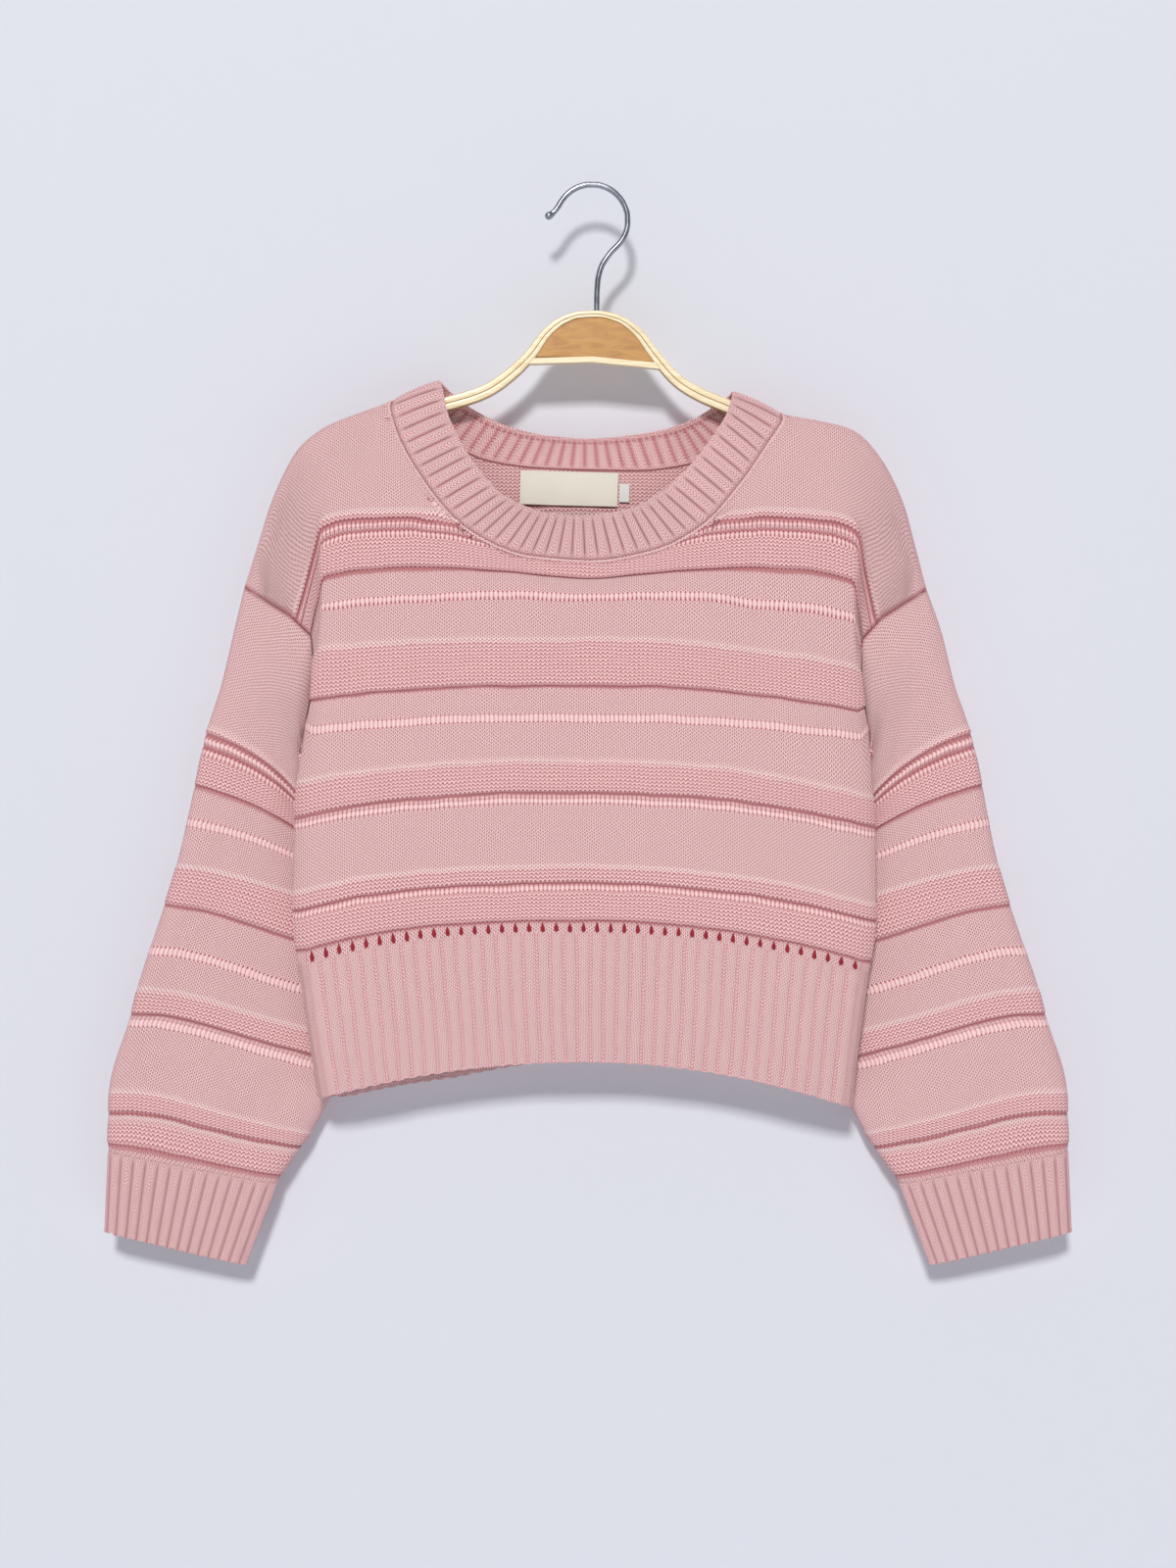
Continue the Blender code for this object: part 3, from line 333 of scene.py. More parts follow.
# Courses from the hem seam up: height in the middle and at the side folds, inset from the
# fold, shelf (how far the cloth has come forward at the fold), place on the armhole
COURSES = (
    # name          middle  left    right   inset shelf arm
    ("hem seam", -504.5, -526.0, -531.0, 7.0, 0.0, -1.0),
    ("welt 5", -495.7, -515.5, -522.7, 7.0, 0.0, -1.0),
    ("groove", -472.0, -490.4, -497.0, 7.0, 0.0, -1.0),
    ("ground 4", -459.4, -476.5, -485.0, 7.0, 0.0, -1.0),
    ("welt 3", -409.5, -425.4, -431.3, 7.0, 0.0, -1.0),
    ("ground 3", -388.7, -402.6, -411.8, 7.0, 0.0, -1.0),
    ("underarm", -361.7, -370.0, -374.0, 7.0, 0.0, 0.0),
    ("welt 2", -338.2, -346.8, -354.8, 7.0, 2.0, 1.03),
    ("ground 2", -306.6, -312.2, -324.7, 7.0, 3.0, 2.0),
    ("welt 1", -258.5, -265.5, -269.0, 5.0, 9.0, 3.05),
    ("lower ridge", -231.8, -240.5, -243.0, 1.5, 17.0, 3.55),
    ("upper ridge", -225.8, -233.5, -236.0, 1.5, 18.0, 3.77),
    ("yoke", -219.4, -226.0, -228.5, 1.5, 18.0, 4.0),
)
FIRST_YOKE_COURSE = 10
WELT_1 = 9
WELT_1_SAG = 7.8
WELT_1_SAG_WIDTH = 0.3
CURL_LEFT = 2.8
CURL_RIGHT = 2.1
CURL_YOKE = 8.0

# Rows above the yoke course: share of the way up, distance from the seam, place on armhole
YOKE_HEIGHT = 68.0
YOKE_SHARES = (0.33, 0.62)
ROLL_DISTANCES = (4.5, 1.2)
ROLL_SHARES = (0.12, 0.04)
YOKE_KEYS = (0.33, 0.62, 0.93, 0.98, 1.0)
YOKE_ARMS = (4.33, 4.67, 5.0, 6.0, 7.0)

# The armhole from the underarm up to the shoulder point: left x and height, right x and
# height, depth of the front and of the back
ARMHOLE = (
    (-194.7, -366.3, 188.1, -367.6, 0.0, 0.0),
    (-191.4, -349.0, 185.4, -353.0, 2.0, 7.5),
    (-188.8, -319.0, 182.8, -329.0, 3.0, 9.5),
    (-190.1, -304.3, 182.8, -306.9, 3.5, 10.0),
    (-203.3, -291.7, 195.4, -293.0, 4.0, 9.0),
    (-225.7, -277.9, 217.1, -279.2, 5.0, 6.5),
    (-233.6, -272.6, 225.1, -273.9, 3.5, 4.0),
    (-235.6, -271.3, 227.0, -272.6, 0.0, 0.0),
)

# Shoulder seam from the shoulder point to the neck: left x and height, right x and height,
# depth below it
SHOULDER = (
    (-218.5, -216.5, 213.2, -219.8, 8.0),
    (-208.6, -193.4, 205.3, -200.0, SHOULDER_DEPTH),
    (-198.7, -176.9, 194.0, -180.8, SHOULDER_DEPTH),
    (-180.8, -162.4, 175.6, -163.7, SHOULDER_DEPTH),
)

# Neck seam and opening edge: left seam and edge, right seam and edge (x and height each),
# depth of seam and edge, lean (how far the wall faces up, degrees), fan (how far below the
# level a column leaves the seam, degrees) and reach (how far it keeps that way)
NECK_FRONT = (
    (-134.0, -145.2, -103.0, -131.3, 127.4, -153.8, 95.0, -138.6, 0.0, 0.0, 90, 26, 34),
    (-136.0, -149.5, -101.0, -136.5, 128.5, -158.0, 94.5, -142.5, 7.0, 7.0, 42, 12, 13),
    (-132.0, -165.0, -98.3, -150.5, 119.5, -173.0, 91.7, -152.5, 9.5, 9.0, 8, 24, 12),
    (-114.8, -197.3, -84.0, -181.0, 99.0, -203.0, 73.0, -181.5, 11.5, 11.0, 0, 37, 9),
    (-83.2, -233.0, -56.0, -212.0, 73.0, -231.0, 47.0, -207.5, 13.0, 12.5, 0, 56, 5),
    (-42.2, -250.8, -29.0, -222.0, 40.0, -247.5, 25.1, -219.1, 13.5, 13.0, 0, 78, 3),
    (-0.5, -254.1, -3.5, -223.7, -0.5, -254.1, -3.5, -223.7, 13.5, 13.0, 0, 90, 3),
)
NECK_BACK = (
    (-134.0, -145.2, -103.0, -131.3, 127.4, -153.8, 95.0, -138.6, 0.0, 0.0, 90, 45, 20),
    (-132.0, -148.8, -99.0, -134.5, 125.0, -157.3, 93.0, -140.5, 7.0, 7.5, 42, 42, 14),
    (-122.0, -158.0, -93.7, -139.3, 114.0, -164.0, 86.5, -144.5, 9.5, 11.0, 8, 53, 12),
    (-99.0, -172.0, -80.5, -148.5, 92.0, -173.5, 71.3, -153.8, 12.0, 14.5, 0, 62, 10),
    (-71.0, -184.5, -56.0, -159.7, 64.0, -187.5, 53.5, -160.4, 13.5, 17.0, 0, 73, 8),
    (-38.0, -189.4, -29.0, -165.7, 32.0, -191.3, 24.0, -165.7, 13.5, 18.0, 0, 85, 6),
    (-2.0, -190.9, -2.6, -167.6, -2.0, -190.9, -2.6, -167.6, 13.5, 18.0, 0, 90, 6),
)

# Places of the mesh's guide columns across half the body, and of the three on the cap
MAIN_PLACES = (1.0, 0.93, 0.86, 0.80, 0.74, 0.69, 0.62, 0.50, 0.34, 0.17)
CAP_NARROW = (0.0, 0.09, 0.4)
CAP_WIDE = (0.0, 0.4, 0.75)
CAP_WIDE_AT = 50.0
FAN_REACH = 0.3
HALF_WIDTH = 192.0
CAP_KEY = 8.0
STRAIGHT_COLUMN = 140.0

# Rows of the panels, as heights at the middle of the front: painted shadow lines under the
# welts and ridges, over a real dip, painted highlight lines on the welts' tops over a real
# rise, the purl welts, and the rows of dropped stitches
PANEL_SHADOW_LINES = (-496.4, -471.2, -410.1, -338.3, -258.9, -232.2, -225.6)
PANEL_HIGHLIGHT_LINES = (-459.4, -388.8, -306.9, -220.4)
PURL_BANDS = ((-496.4, -477.0), (-471.2, -460.0), (-410.1, -389.2), (-338.3, -307.2),
              (-258.9, -238.2), (-225.6, -221.0))
LONG_ROWS = ((-474.6, 1.9), (-415.8, 2.7), (-360.0, 2.7), (-279.6, 2.7), (-235.4, 2.1),
             (-229.0, 2.1))

# Soft creases of the front and of the back: middle x and height, reach along and across in
# millimetres, slope in degrees, depth
BODY_CREASES = {
    False: (
        (-158.0, -318.0, 46.0, 12.0, 84.0, -1.5),
        (-96.0, -286.0, 52.0, 17.0, 62.0, 1.1),
        (118.0, -322.0, 70.0, 16.0, -74.0, -1.4),
        (-58.0, -398.0, 58.0, 20.0, 70.0, 1.2),
        (82.0, -447.0, 64.0, 18.0, -58.0, 1.3),
        (-116.0, -462.0, 40.0, 14.0, 77.0, -1.3),
        (22.0, -338.0, 44.0, 15.0, -86.0, -1.0),
        (150.0, -418.0, 50.0, 12.0, 82.0, -1.2),
        (-150.0, -404.0, 34.0, 11.0, 52.0, 1.1),
    ),
    True: (
        (-140.0, -300.0, 62.0, 15.0, 66.0, -1.6),
        (-72.0, -258.0, 44.0, 19.0, 38.0, 1.2),
        (66.0, -270.0, 52.0, 16.0, -44.0, -1.3),
        (134.0, -340.0, 66.0, 14.0, -80.0, 1.4),
        (-20.0, -372.0, 74.0, 21.0, 84.0, -1.2),
        (92.0, -452.0, 46.0, 15.0, -62.0, -1.5),
        (-104.0, -440.0, 56.0, 17.0, 73.0, 1.5),
        (20.0, -480.0, 36.0, 13.0, -70.0, 1.0),
    ),
}


def smooth_through(values, keys, at):
    """Smooth curve that never overshoots, through rows of values at rising keys, read at others."""
    values = np.asarray(values, float)
    keys = np.asarray(keys, float)
    at = np.asarray(at, float)
    spread = (-1,) + (1,) * (values.ndim - 1)
    gaps = np.diff(keys)
    slopes = np.diff(values, axis=0) / gaps.reshape(spread)
    before, after = slopes[:-1], slopes[1:]
    weight_1 = (2.0 * gaps[1:] + gaps[:-1]).reshape(spread)
    weight_2 = (gaps[1:] + 2.0 * gaps[:-1]).reshape(spread)
    same_way = before * after > 1e-12
    safe_before = np.where(same_way, before, 1.0)
    safe_after = np.where(same_way, after, 1.0)
    mean = (weight_1 + weight_2) / (weight_1 / safe_before + weight_2 / safe_after)
    tangents = np.concatenate([slopes[:1], np.where(same_way, mean, 0.0), slopes[-1:]])
    low = np.clip(np.searchsorted(keys, at, side="right") - 1, 0, len(gaps) - 1)
    gap = gaps[low].reshape(spread)
    t = (at - keys[low]).reshape(spread) / gap
    return (values[low] * (1 + 2 * t) * (1 - t) ** 2 + tangents[low] * gap * t * (1 - t) ** 2
            + values[low + 1] * t * t * (3 - 2 * t) + tangents[low + 1] * gap * t * t * (t - 1))


def mix(a, b, share):
    """Value a share of the way from a to b."""
    return a + (b - a) * share


def ramp(value, reach):
    """0 up to 0, and 1 from reach on."""
    return np.clip(value / reach, 0, 1)


def unit(vectors):
    """Vectors of length 1 along the last axis."""
    return vectors / np.linalg.norm(vectors, axis=-1, keepdims=True)


def walked(points, axis=0):
    """Distance walked from the first point along an axis of a list or grid of points."""
    steps = np.linalg.norm(np.diff(points, axis=axis), axis=-1)
    start = np.zeros_like(np.take(steps, [0], axis))
    return np.concatenate([start, np.cumsum(steps, axis=axis)], axis)


def clamp(value):
    """Value kept from 0 to 1."""
    return max(0.0, min(1.0, value))


def rounded(distance, radius):
    """0 at an edge, 1 from radius inwards, along a quarter circle."""
    return math.sqrt(1.0 - (1.0 - clamp(distance / radius)) ** 2)


def fold_x(z, right):
    """Where the side fold is at a height."""
    table = np.array(FOLD)
    return float(np.interp(z, table[:, 0], table[:, 2 if right else 1]))


def panel_depth(distance):
    """Depth of a panel at a distance inside the side fold."""
    inside = 1.0 - clamp(distance / FOLD_SPAN)
    return BODY_DEPTH * math.sqrt(1.0 - inside**FOLD_POWER)


def armhole_point(arm, right, back):
    """Point of the armhole at a place from 0, the underarm, to 7, the shoulder point."""
    table = np.array(ARMHOLE)
    rows = np.arange(len(table))
    x, z = (np.interp(arm, rows, table[:, c]) for c in ((2, 3) if right else (0, 1)))
    depth = np.interp(arm, rows, table[:, 5 if back else 4])
    return np.array((x, depth if back else -depth, z))


def top_points(back):
    """Top of each guide column, left to right: point, depth below it, way that it leaves."""
    neck = NECK_BACK if back else NECK_FRONT
    side = 1.0 if back else -1.0
    half = {}
    for right in (False, True):
        out = 1.0 if right else -1.0
        tops = []
        for row in SHOULDER:
            x, z = row[2:4] if right else row[0:2]
            tops.append((np.array((x, 0.0, z)), row[4], None))
        for row in neck:
            x, z = row[4:6] if right else row[0:2]
            fan = math.radians(row[11])
            leave = np.array((out * math.cos(fan), 0.0, -math.sin(fan))) * row[12]
            tops.append((np.array((x, side * row[8], z)), SHOULDER_DEPTH, leave))
        half[right] = tops
    return half[False] + half[True][-2::-1]


def course_height(index, across, back):
    """Height of a course at a place across the body, from -1 at the left fold to 1."""
    middle, left, right = COURSES[index][1:4]
    curl = CURL_RIGHT if across > 0 else CURL_LEFT
    if index >= WELT_1:
        curl = CURL_YOKE
    height = mix(middle, right if across > 0 else left, abs(across) ** curl)
    if index == WELT_1 and not back:
        height -= WELT_1_SAG * math.exp(-((across / WELT_1_SAG_WIDTH) ** 2))
    return height


def guide_course(index, back, tops, below):
    """Points of one course at the guide columns."""
    _, _, left_z, right_z, inset, shelf, arm = COURSES[index]
    side = 1.0 if back else -1.0
    if back and arm > 0:
        shelf = 30.0
    left = fold_x(left_z, False) + inset
    right = fold_x(right_z, True) - inset
    places = [-p for p in MAIN_PLACES] + [0.0] + list(reversed(MAIN_PLACES))
    points = []
    for column, across in enumerate(places):
        z = course_height(index, across, back)
        x = mix(left, right, (across + 1.0) / 2.0)
        if index >= FIRST_YOKE_COURSE:
            top = tops[column][0]
            start = below[column + len(CAP_NARROW)]
            yoke = course_height(len(COURSES) - 1, across, back)
            if yoke > mix(start[2], top[2], 0.55):
                step = index - FIRST_YOKE_COURSE
                rise = mix(0.22 * (1 + step), 0.5 + 0.15 * step, clamp((abs(across) - 0.75) / 0.15))
                z = min(z, mix(start[2], top[2], rise))
            lean = clamp((1.0 - abs(across)) / 0.3)
            x = mix(x, top[0], lean * clamp((z - start[2]) / (top[2] - start[2])))
        distance = inset + shelf + (1.0 - abs(across)) * (right - left) / 2.0
        points.append(np.array((x, side * panel_depth(distance), z)))
    for on_right in (False, True):
        turn = points[-1] if on_right else points[0]
        if arm < 0:
            end_z = turn[2] - 1.0
            end = np.array((fold_x(end_z, on_right), side * SEAM_GAP / 2.0, end_z))
        else:
            end = armhole_point(arm, on_right, back)
            if arm == 0:
                end[1] = side * SEAM_GAP / 2.0
        wide = clamp(np.linalg.norm(turn - end) / CAP_WIDE_AT - 0.15)
        cap = []
        for narrow, broad in zip(CAP_NARROW, CAP_WIDE):
            share = mix(narrow, broad, wide)
            point = end + (turn - end) * share
            point[1] = mix(end[1], turn[1], share ** mix(0.5, 2.2, wide))
            cap.append(point)
        points = points + cap[::-1] if on_right else cap + points
    return points


def fanned(top, leave, low, share):
    """Point on the curve that leaves the top one way and reaches the low point from above."""
    first = top + leave
    second = low + np.array((0.0, 0.0, FAN_REACH * np.linalg.norm(top - low)))
    rest = 1.0 - share
    return (top * rest**3 + first * (3.0 * rest**2 * share)
            + second * (3.0 * rest * share**2) + low * share**3)


def guide_yoke(yoke, tops, back):
    """Rows from the yoke course up to the shoulder and neck seams."""
    side = 1.0 if back else -1.0
    caps = len(CAP_NARROW)
    rows = []
    for step, arm in enumerate(YOKE_ARMS):
        row = [armhole_point(arm, False, back)]
        for column in range(1, len(yoke) - 1):
            cap = column < caps or column >= len(yoke) - caps
            if cap:
                right = column >= caps
                share = (column if not right else len(yoke) - 1 - column) / caps
                top_at = tops[-1 if right else 0][0]
                point_7 = armhole_point(7.0, right, back)
                top, depth, leave = mix(point_7, top_at, share), mix(5.0, 8.0, share), None
            else:
                top, depth, leave = tops[column - caps]
            length = np.linalg.norm(top - yoke[column])
            if step < len(YOKE_SHARES):
                left_over = (1.0 - YOKE_SHARES[step]) * length
            elif step < len(YOKE_ARMS) - 1:
                roll = step - len(YOKE_SHARES)
                left_over = min(ROLL_DISTANCES[roll], ROLL_SHARES[roll] * length)
            else:
                left_over = 0.0
            point = mix(top, yoke[column], left_over / length)
            if leave is not None and step >= len(YOKE_SHARES):
                point = top + unit(leave) * left_over
            elif leave is not None:
                point = fanned(top, leave, yoke[column], left_over / length)
            over_neck = abs(top[1]) > 1.0
            full = mix(abs(top[1]), abs(yoke[column][1]), 0.3) if over_neck else depth
            if left_over < SHOULDER_ROLL:
                out = mix(abs(top[1]), full, rounded(left_over, SHOULDER_ROLL))
            else:
                rest = clamp((left_over - SHOULDER_ROLL) / max(length - SHOULDER_ROLL, 1.0))
                out = mix(full, abs(yoke[column][1]), rest * rest * (3.0 - 2.0 * rest))
            if step == len(YOKE_ARMS) - 1 and not over_neck:
                out = SEAM_GAP / 2.0
            point[1] = side * out
            row.append(point)
        row.append(armhole_point(arm, True, back))
        if step == len(YOKE_ARMS) - 1:
            for end in (row[0], row[-1]):
                end[1] = side * SEAM_GAP / 2.0
        rows.append(row)
    return rows


def fine_rows(low, high, lines, spacing=COURSE):
    """Row heights from low to high, one a course, with closer rows at each line."""
    rows = list(np.linspace(low, high, round((high - low) / spacing) + 1))
    for line in lines:
        near = [line - 1.1, line - 0.3, line + 0.5, line + 1.4]
        rows = [r for r in rows if not line - 1.9 < r < line + 2.2] + near
    return np.array(sorted(r for r in rows if low <= r <= high))


def hump(value, centre, reach):
    """1 at the centre, 0 from reach away, smooth between."""
    near = np.clip(1.0 - np.abs(value - centre) / reach, 0.0, 1.0)
    return near * near * (3.0 - 2.0 * near)


def relief(height, dark_lines, pale_lines, purl_bands, long_rows):
    """How far the knitting stands out at each height, in millimetres."""
    lift = np.zeros_like(height)
    for bottom, top in purl_bands:
        crown = ramp(height - bottom, 1.2) * ramp(top + 1.5 - height, 4.0)
        lift = np.maximum(lift, crown * WELT)
    for middle, reach in long_rows:
        lift = lift + 0.5 * hump(height, middle, reach)
    for line in dark_lines:
        lift = lift - 1.0 * hump(height, line - 0.6, 1.6)
    for line in pale_lines:
        lift = lift + 0.5 * hump(height, line, 2.0)
    return lift


def wander(u, v, size, seed=0.0):
    """Slow waves over a sheet, from -size to size."""
    return size * (0.5 * np.sin(u / 23.0 + v / 37.0 + seed)
                   + 0.3 * np.sin(u / 11.0 - v / 19.0 + 2.0 * seed)
                   + 0.2 * np.sin(u / 6.1 + v / 29.0 + 3.0 * seed))


def crease(dx, dz, reach, across, slope):
    """Soft bend with its middle at dx, dz = 0: 1 there, and a slope in degrees."""
    turn = math.radians(slope)
    along = dx * math.cos(turn) + dz * math.sin(turn)
    beside = dz * math.cos(turn) - dx * math.sin(turn)
    return np.exp(-((along / reach) ** 2) - (beside / across) ** 2)


def grid_normals(points, closed=False):
    """Way that each point of a grid faces, from the points beside it."""
    if closed:
        across = np.roll(points, -1, 1) - np.roll(points, 1, 1)
    else:
        across = np.gradient(points, axis=1)
    along = np.gradient(points, axis=0)
    ways = np.cross(across, along)
    return ways / np.maximum(np.linalg.norm(ways, axis=2, keepdims=True), 1e-9)


def closed_up(grid):
    """Grid of a tube with its first column again at the end."""
    return np.concatenate([grid, grid[:, :1]], axis=1)


def thicken(sheet, thickness):
    """Gives a sheet its thickness in millimetres, inwards."""
    solid = sheet.modifiers.new("wall", "SOLIDIFY")
    solid.thickness = thickness * MM
    solid.offset = -1.0
    bpy.ops.object.modifier_apply(modifier=solid.name)


def dress(piece, material, node=None):
    """Gives a piece its material, puts it on the root body, and hides the node it stands for."""
    piece.data.materials.clear()
    piece.data.materials.append(material)
    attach(piece, "root")
    if node:
        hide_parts(node)
    return piece


def knit_sheet(node, points, layout, shade, material, closed=False, ribs=None):
    """Thin knitted sheet on a grid of outer points in millimetres, with its stitch layout."""
    if closed:
        points, shade = closed_up(points), closed_up(shade)
    rows, columns = points.shape[:2]
    bpy.ops.object.select_all(action="DESELECT")
    bpy.ops.mesh.primitive_grid_add(x_subdivisions=columns - 1, y_subdivisions=rows - 1, size=1.0)
    sheet = bpy.context.object
    sheet.name = sheet.data.name = node + "_knit"
    mesh = sheet.data
    mesh.vertices.foreach_set("co", (points * MM).astype(np.float32).ravel())
    corner = np.empty(len(mesh.loops), np.int32)
    mesh.loops.foreach_get("vertex_index", corner)
    uv = mesh.uv_layers[0]
    uv.name = "stitch"
    uv.data.foreach_set("uv", layout.reshape(-1, 2)[corner].astype(np.float32).ravel())
    for label, values in (("shade", shade), ("inside", 0.0 * shade), ("rib", ribs)):
        if values is not None:
            layer = mesh.attributes.new(label, "FLOAT", "POINT")
            layer.data.foreach_set("value", values.astype(np.float32).ravel())
    if closed:
        bpy.ops.object.mode_set(mode="EDIT")
        bpy.ops.mesh.select_all(action="SELECT")
        bpy.ops.mesh.remove_doubles(threshold=0.00001)
        bpy.ops.object.mode_set(mode="OBJECT")
    outer = len(mesh.vertices)
    thicken(sheet, WALL)
    mesh = sheet.data
    inside = np.zeros(len(mesh.vertices), np.float32)
    inside[outer:] = 1.0
    mesh.attributes["inside"].data.foreach_set("value", inside)
    bpy.ops.object.shade_smooth_by_angle(angle=KNIT_SMOOTH)
    return dress(sheet, material, node)


def body_panel(back):
    """Outer points of a panel at its rows and columns of knitting, with layout and masks."""
    side = 1.0 if back else -1.0
    tops = top_points(back)
    guide = []
    for index in range(len(COURSES)):
        below = guide[FIRST_YOKE_COURSE - 1] if index >= FIRST_YOKE_COURSE else None
        guide.append(guide_course(index, back, tops, below))
    guide.extend(guide_yoke(guide[-1], tops, back))
    yoke_height = COURSES[-1][1]
    row_keys = [c[1] for c in COURSES] + [yoke_height + YOKE_HEIGHT * s for s in YOKE_KEYS]
    arms = [c[6] for c in COURSES] + list(YOKE_ARMS)
    half = [p * HALF_WIDTH for p in MAIN_PLACES]
    caps = [HALF_WIDTH + CAP_KEY * k for k in (3, 2, 1)]
    column_keys = [-k for k in caps + half] + [0.0] + (caps + half)[::-1]
    rows = fine_rows(row_keys[0], row_keys[-1], PANEL_SHADOW_LINES, PANEL_ROW)
    pitch = 2.0 * HALF_WIDTH / EYELETS / RIB_COLUMNS
    count = round(2.0 * column_keys[-1] / pitch)
    columns = np.linspace(column_keys[0], column_keys[-1], count + 1)
    points = smooth_through(np.array(guide), row_keys, rows)
    points = smooth_through(points.swapaxes(0, 1), column_keys, columns).swapaxes(0, 1)
    arm_at = np.interp(rows, row_keys, arms)
    for row, arm in enumerate(arm_at):
        if arm >= 0.0:
            for column in (0, -1):
                points[row, column] = armhole_point(arm, column == -1, back)
    joined = (arm_at < 0.01) | (arm_at > 6.99)
    points[joined, 0, 1] = points[joined, -1, 1] = side * SEAM_GAP / 2.0

    # Stitch heights follow the courses; above the lowest yoke course they follow the columns
    climbed = walked(points)
    welt_row = int(np.searchsorted(rows, COURSES[WELT_1][1]))
    yoke_row = int(np.searchsorted(rows, yoke_height))
    level = np.repeat(rows[:, None], count + 1, axis=1)
    from_welt = rows[welt_row] + climbed - climbed[welt_row]
    in_body = ramp(HALF_WIDTH + 4.0 - np.abs(columns), 52.0)
    in_body = (in_body * in_body * (3.0 - 2.0 * in_body))[None, :]
    crowded = (np.arange(len(rows)) > welt_row)[:, None]
    level = np.where(crowded, mix(level, np.minimum(level, from_welt), in_body), level)
    above = level[yoke_row] + climbed - climbed[yoke_row]
    level = np.where((np.arange(len(rows)) > yoke_row)[:, None], above, level)
    run = walked(points, axis=1)
    width = points[:, :, 0].copy()
    for sign in (-1.0, 1.0):
        straight = int(np.argmin(np.abs(columns - sign * STRAIGHT_COLUMN)))
        outside = sign * columns > STRAIGHT_COLUMN
        beyond = width[:, [straight]] + run - run[:, [straight]]
        width = np.where(outside[None, :], beyond, width)

    lift = relief(level, PANEL_SHADOW_LINES, PANEL_HIGHLIGHT_LINES, PURL_BANDS, LONG_ROWS)
    rib_at = columns / (RIB_COLUMNS * pitch)
    eyelet = np.cos(2.0 * math.pi * rib_at)
    hole = np.where(np.abs(columns) < HALF_WIDTH, ramp(eyelet - 0.45, 0.4), 0.0)[None, :]
    taper = ramp(level - EYELET_BOTTOM, 1.0) * ramp(EYELET_TOP - level, 4.5) ** 0.5
    lift = lift - 1.2 * (hole * taper)
    ribs = np.where(np.abs(columns) < HALF_WIDTH, rib_at, 0.5)
    ribs = np.repeat(ribs[None, :], len(rows), axis=0)
    from_edge = np.minimum(run, run[:, -1:] - run)
    at_armhole = (arm_at > 0.3)[:, None] & (from_edge < 12.0)
    # Painted shade along the armhole seam, where the panel also dips
    shade = np.where(at_armhole, hump(from_edge, 0.0, 1.6) * 0.8, 0.0)
    seam_dip = np.where(at_armhole, hump(from_edge, 0.0, 2.5) * 0.6, 0.0)
    lift = lift * ramp(from_edge, 3.0) - seam_dip
    to_top = climbed[-1] - climbed
    lift = lift * ramp(to_top - 3.0, 9.0)
    ways = grid_normals(points) * -side
    calm = ramp(from_edge, 40.0) * ramp(to_top, 40.0) * ramp(rows - rows[0], 30.0)[:, None]
    lift = lift + wander(width * 0.6, level * 0.6, 1.1, 1.0 if back else 0.3) * calm
    for x, z, reach, across, slope, depth in BODY_CREASES[back]:
        bend = crease(points[:, :, 0] - x, points[:, :, 2] - z, reach, across, slope)
        lift = lift + depth * bend * calm
    points = points + ways * lift[:, :, None]
    points[:, :, 2] += wander(width, level, 0.6, 2.0) * calm
    layout = np.stack([width / WALE, level / COURSE], axis=2)
    return points, layout, shade, ribs


body_knit = knit_material("body_knit", 1.0, 1.5, PANEL_SHADOW_LINES, PANEL_HIGHLIGHT_LINES, PURL_BANDS, LONG_ROWS,
                          holes=(EYELET_BOTTOM, EYELET_TOP, EYELET_WIDTH))
seams = {}
for name, back in (("front", False), ("back", True)):
    points, layout, shade, ribs = body_panel(back)
    seams[back] = points[0].copy(), layout[0].copy()
    if back:
        points, layout, shade, ribs = (grid[:, ::-1] for grid in (points, layout, shade, ribs))
    panel = knit_sheet(name, points, layout, shade, body_knit, ribs=ribs)

# Hem ------------------------------------------------------------------------------------
# Two-by-two rib, knitted on from the panels' lowest course, each rib's knit wales under an
# eyelet. The cast-on edge is a little thick and pale.

RIB = 1.0
RIB_WALES = 4.0
JOINT_GAP = 0.05
HEM_BOTTOM = -591.4
HEM_DROP_LEFT = 25.7
HEM_DROP_RIGHT = 32.0
HEM_LEFT_X = -186.0
HEM_RIGHT_X = 176.0
BACK_HEM_PLACES = (-1.0, -0.9, -0.5, -0.2, 0.1, 1.0)
BACK_HEM_EXTRA = (0.0, 5.5, 7.5, 3.0, 1.5, 0.0)
HEM_ROWS = 31
CAST_ON = 2.2


def fade(value, reach):
    """1 at 0, and 0 from reach on."""
    return np.clip(1.0 - value / reach, 0, 1)


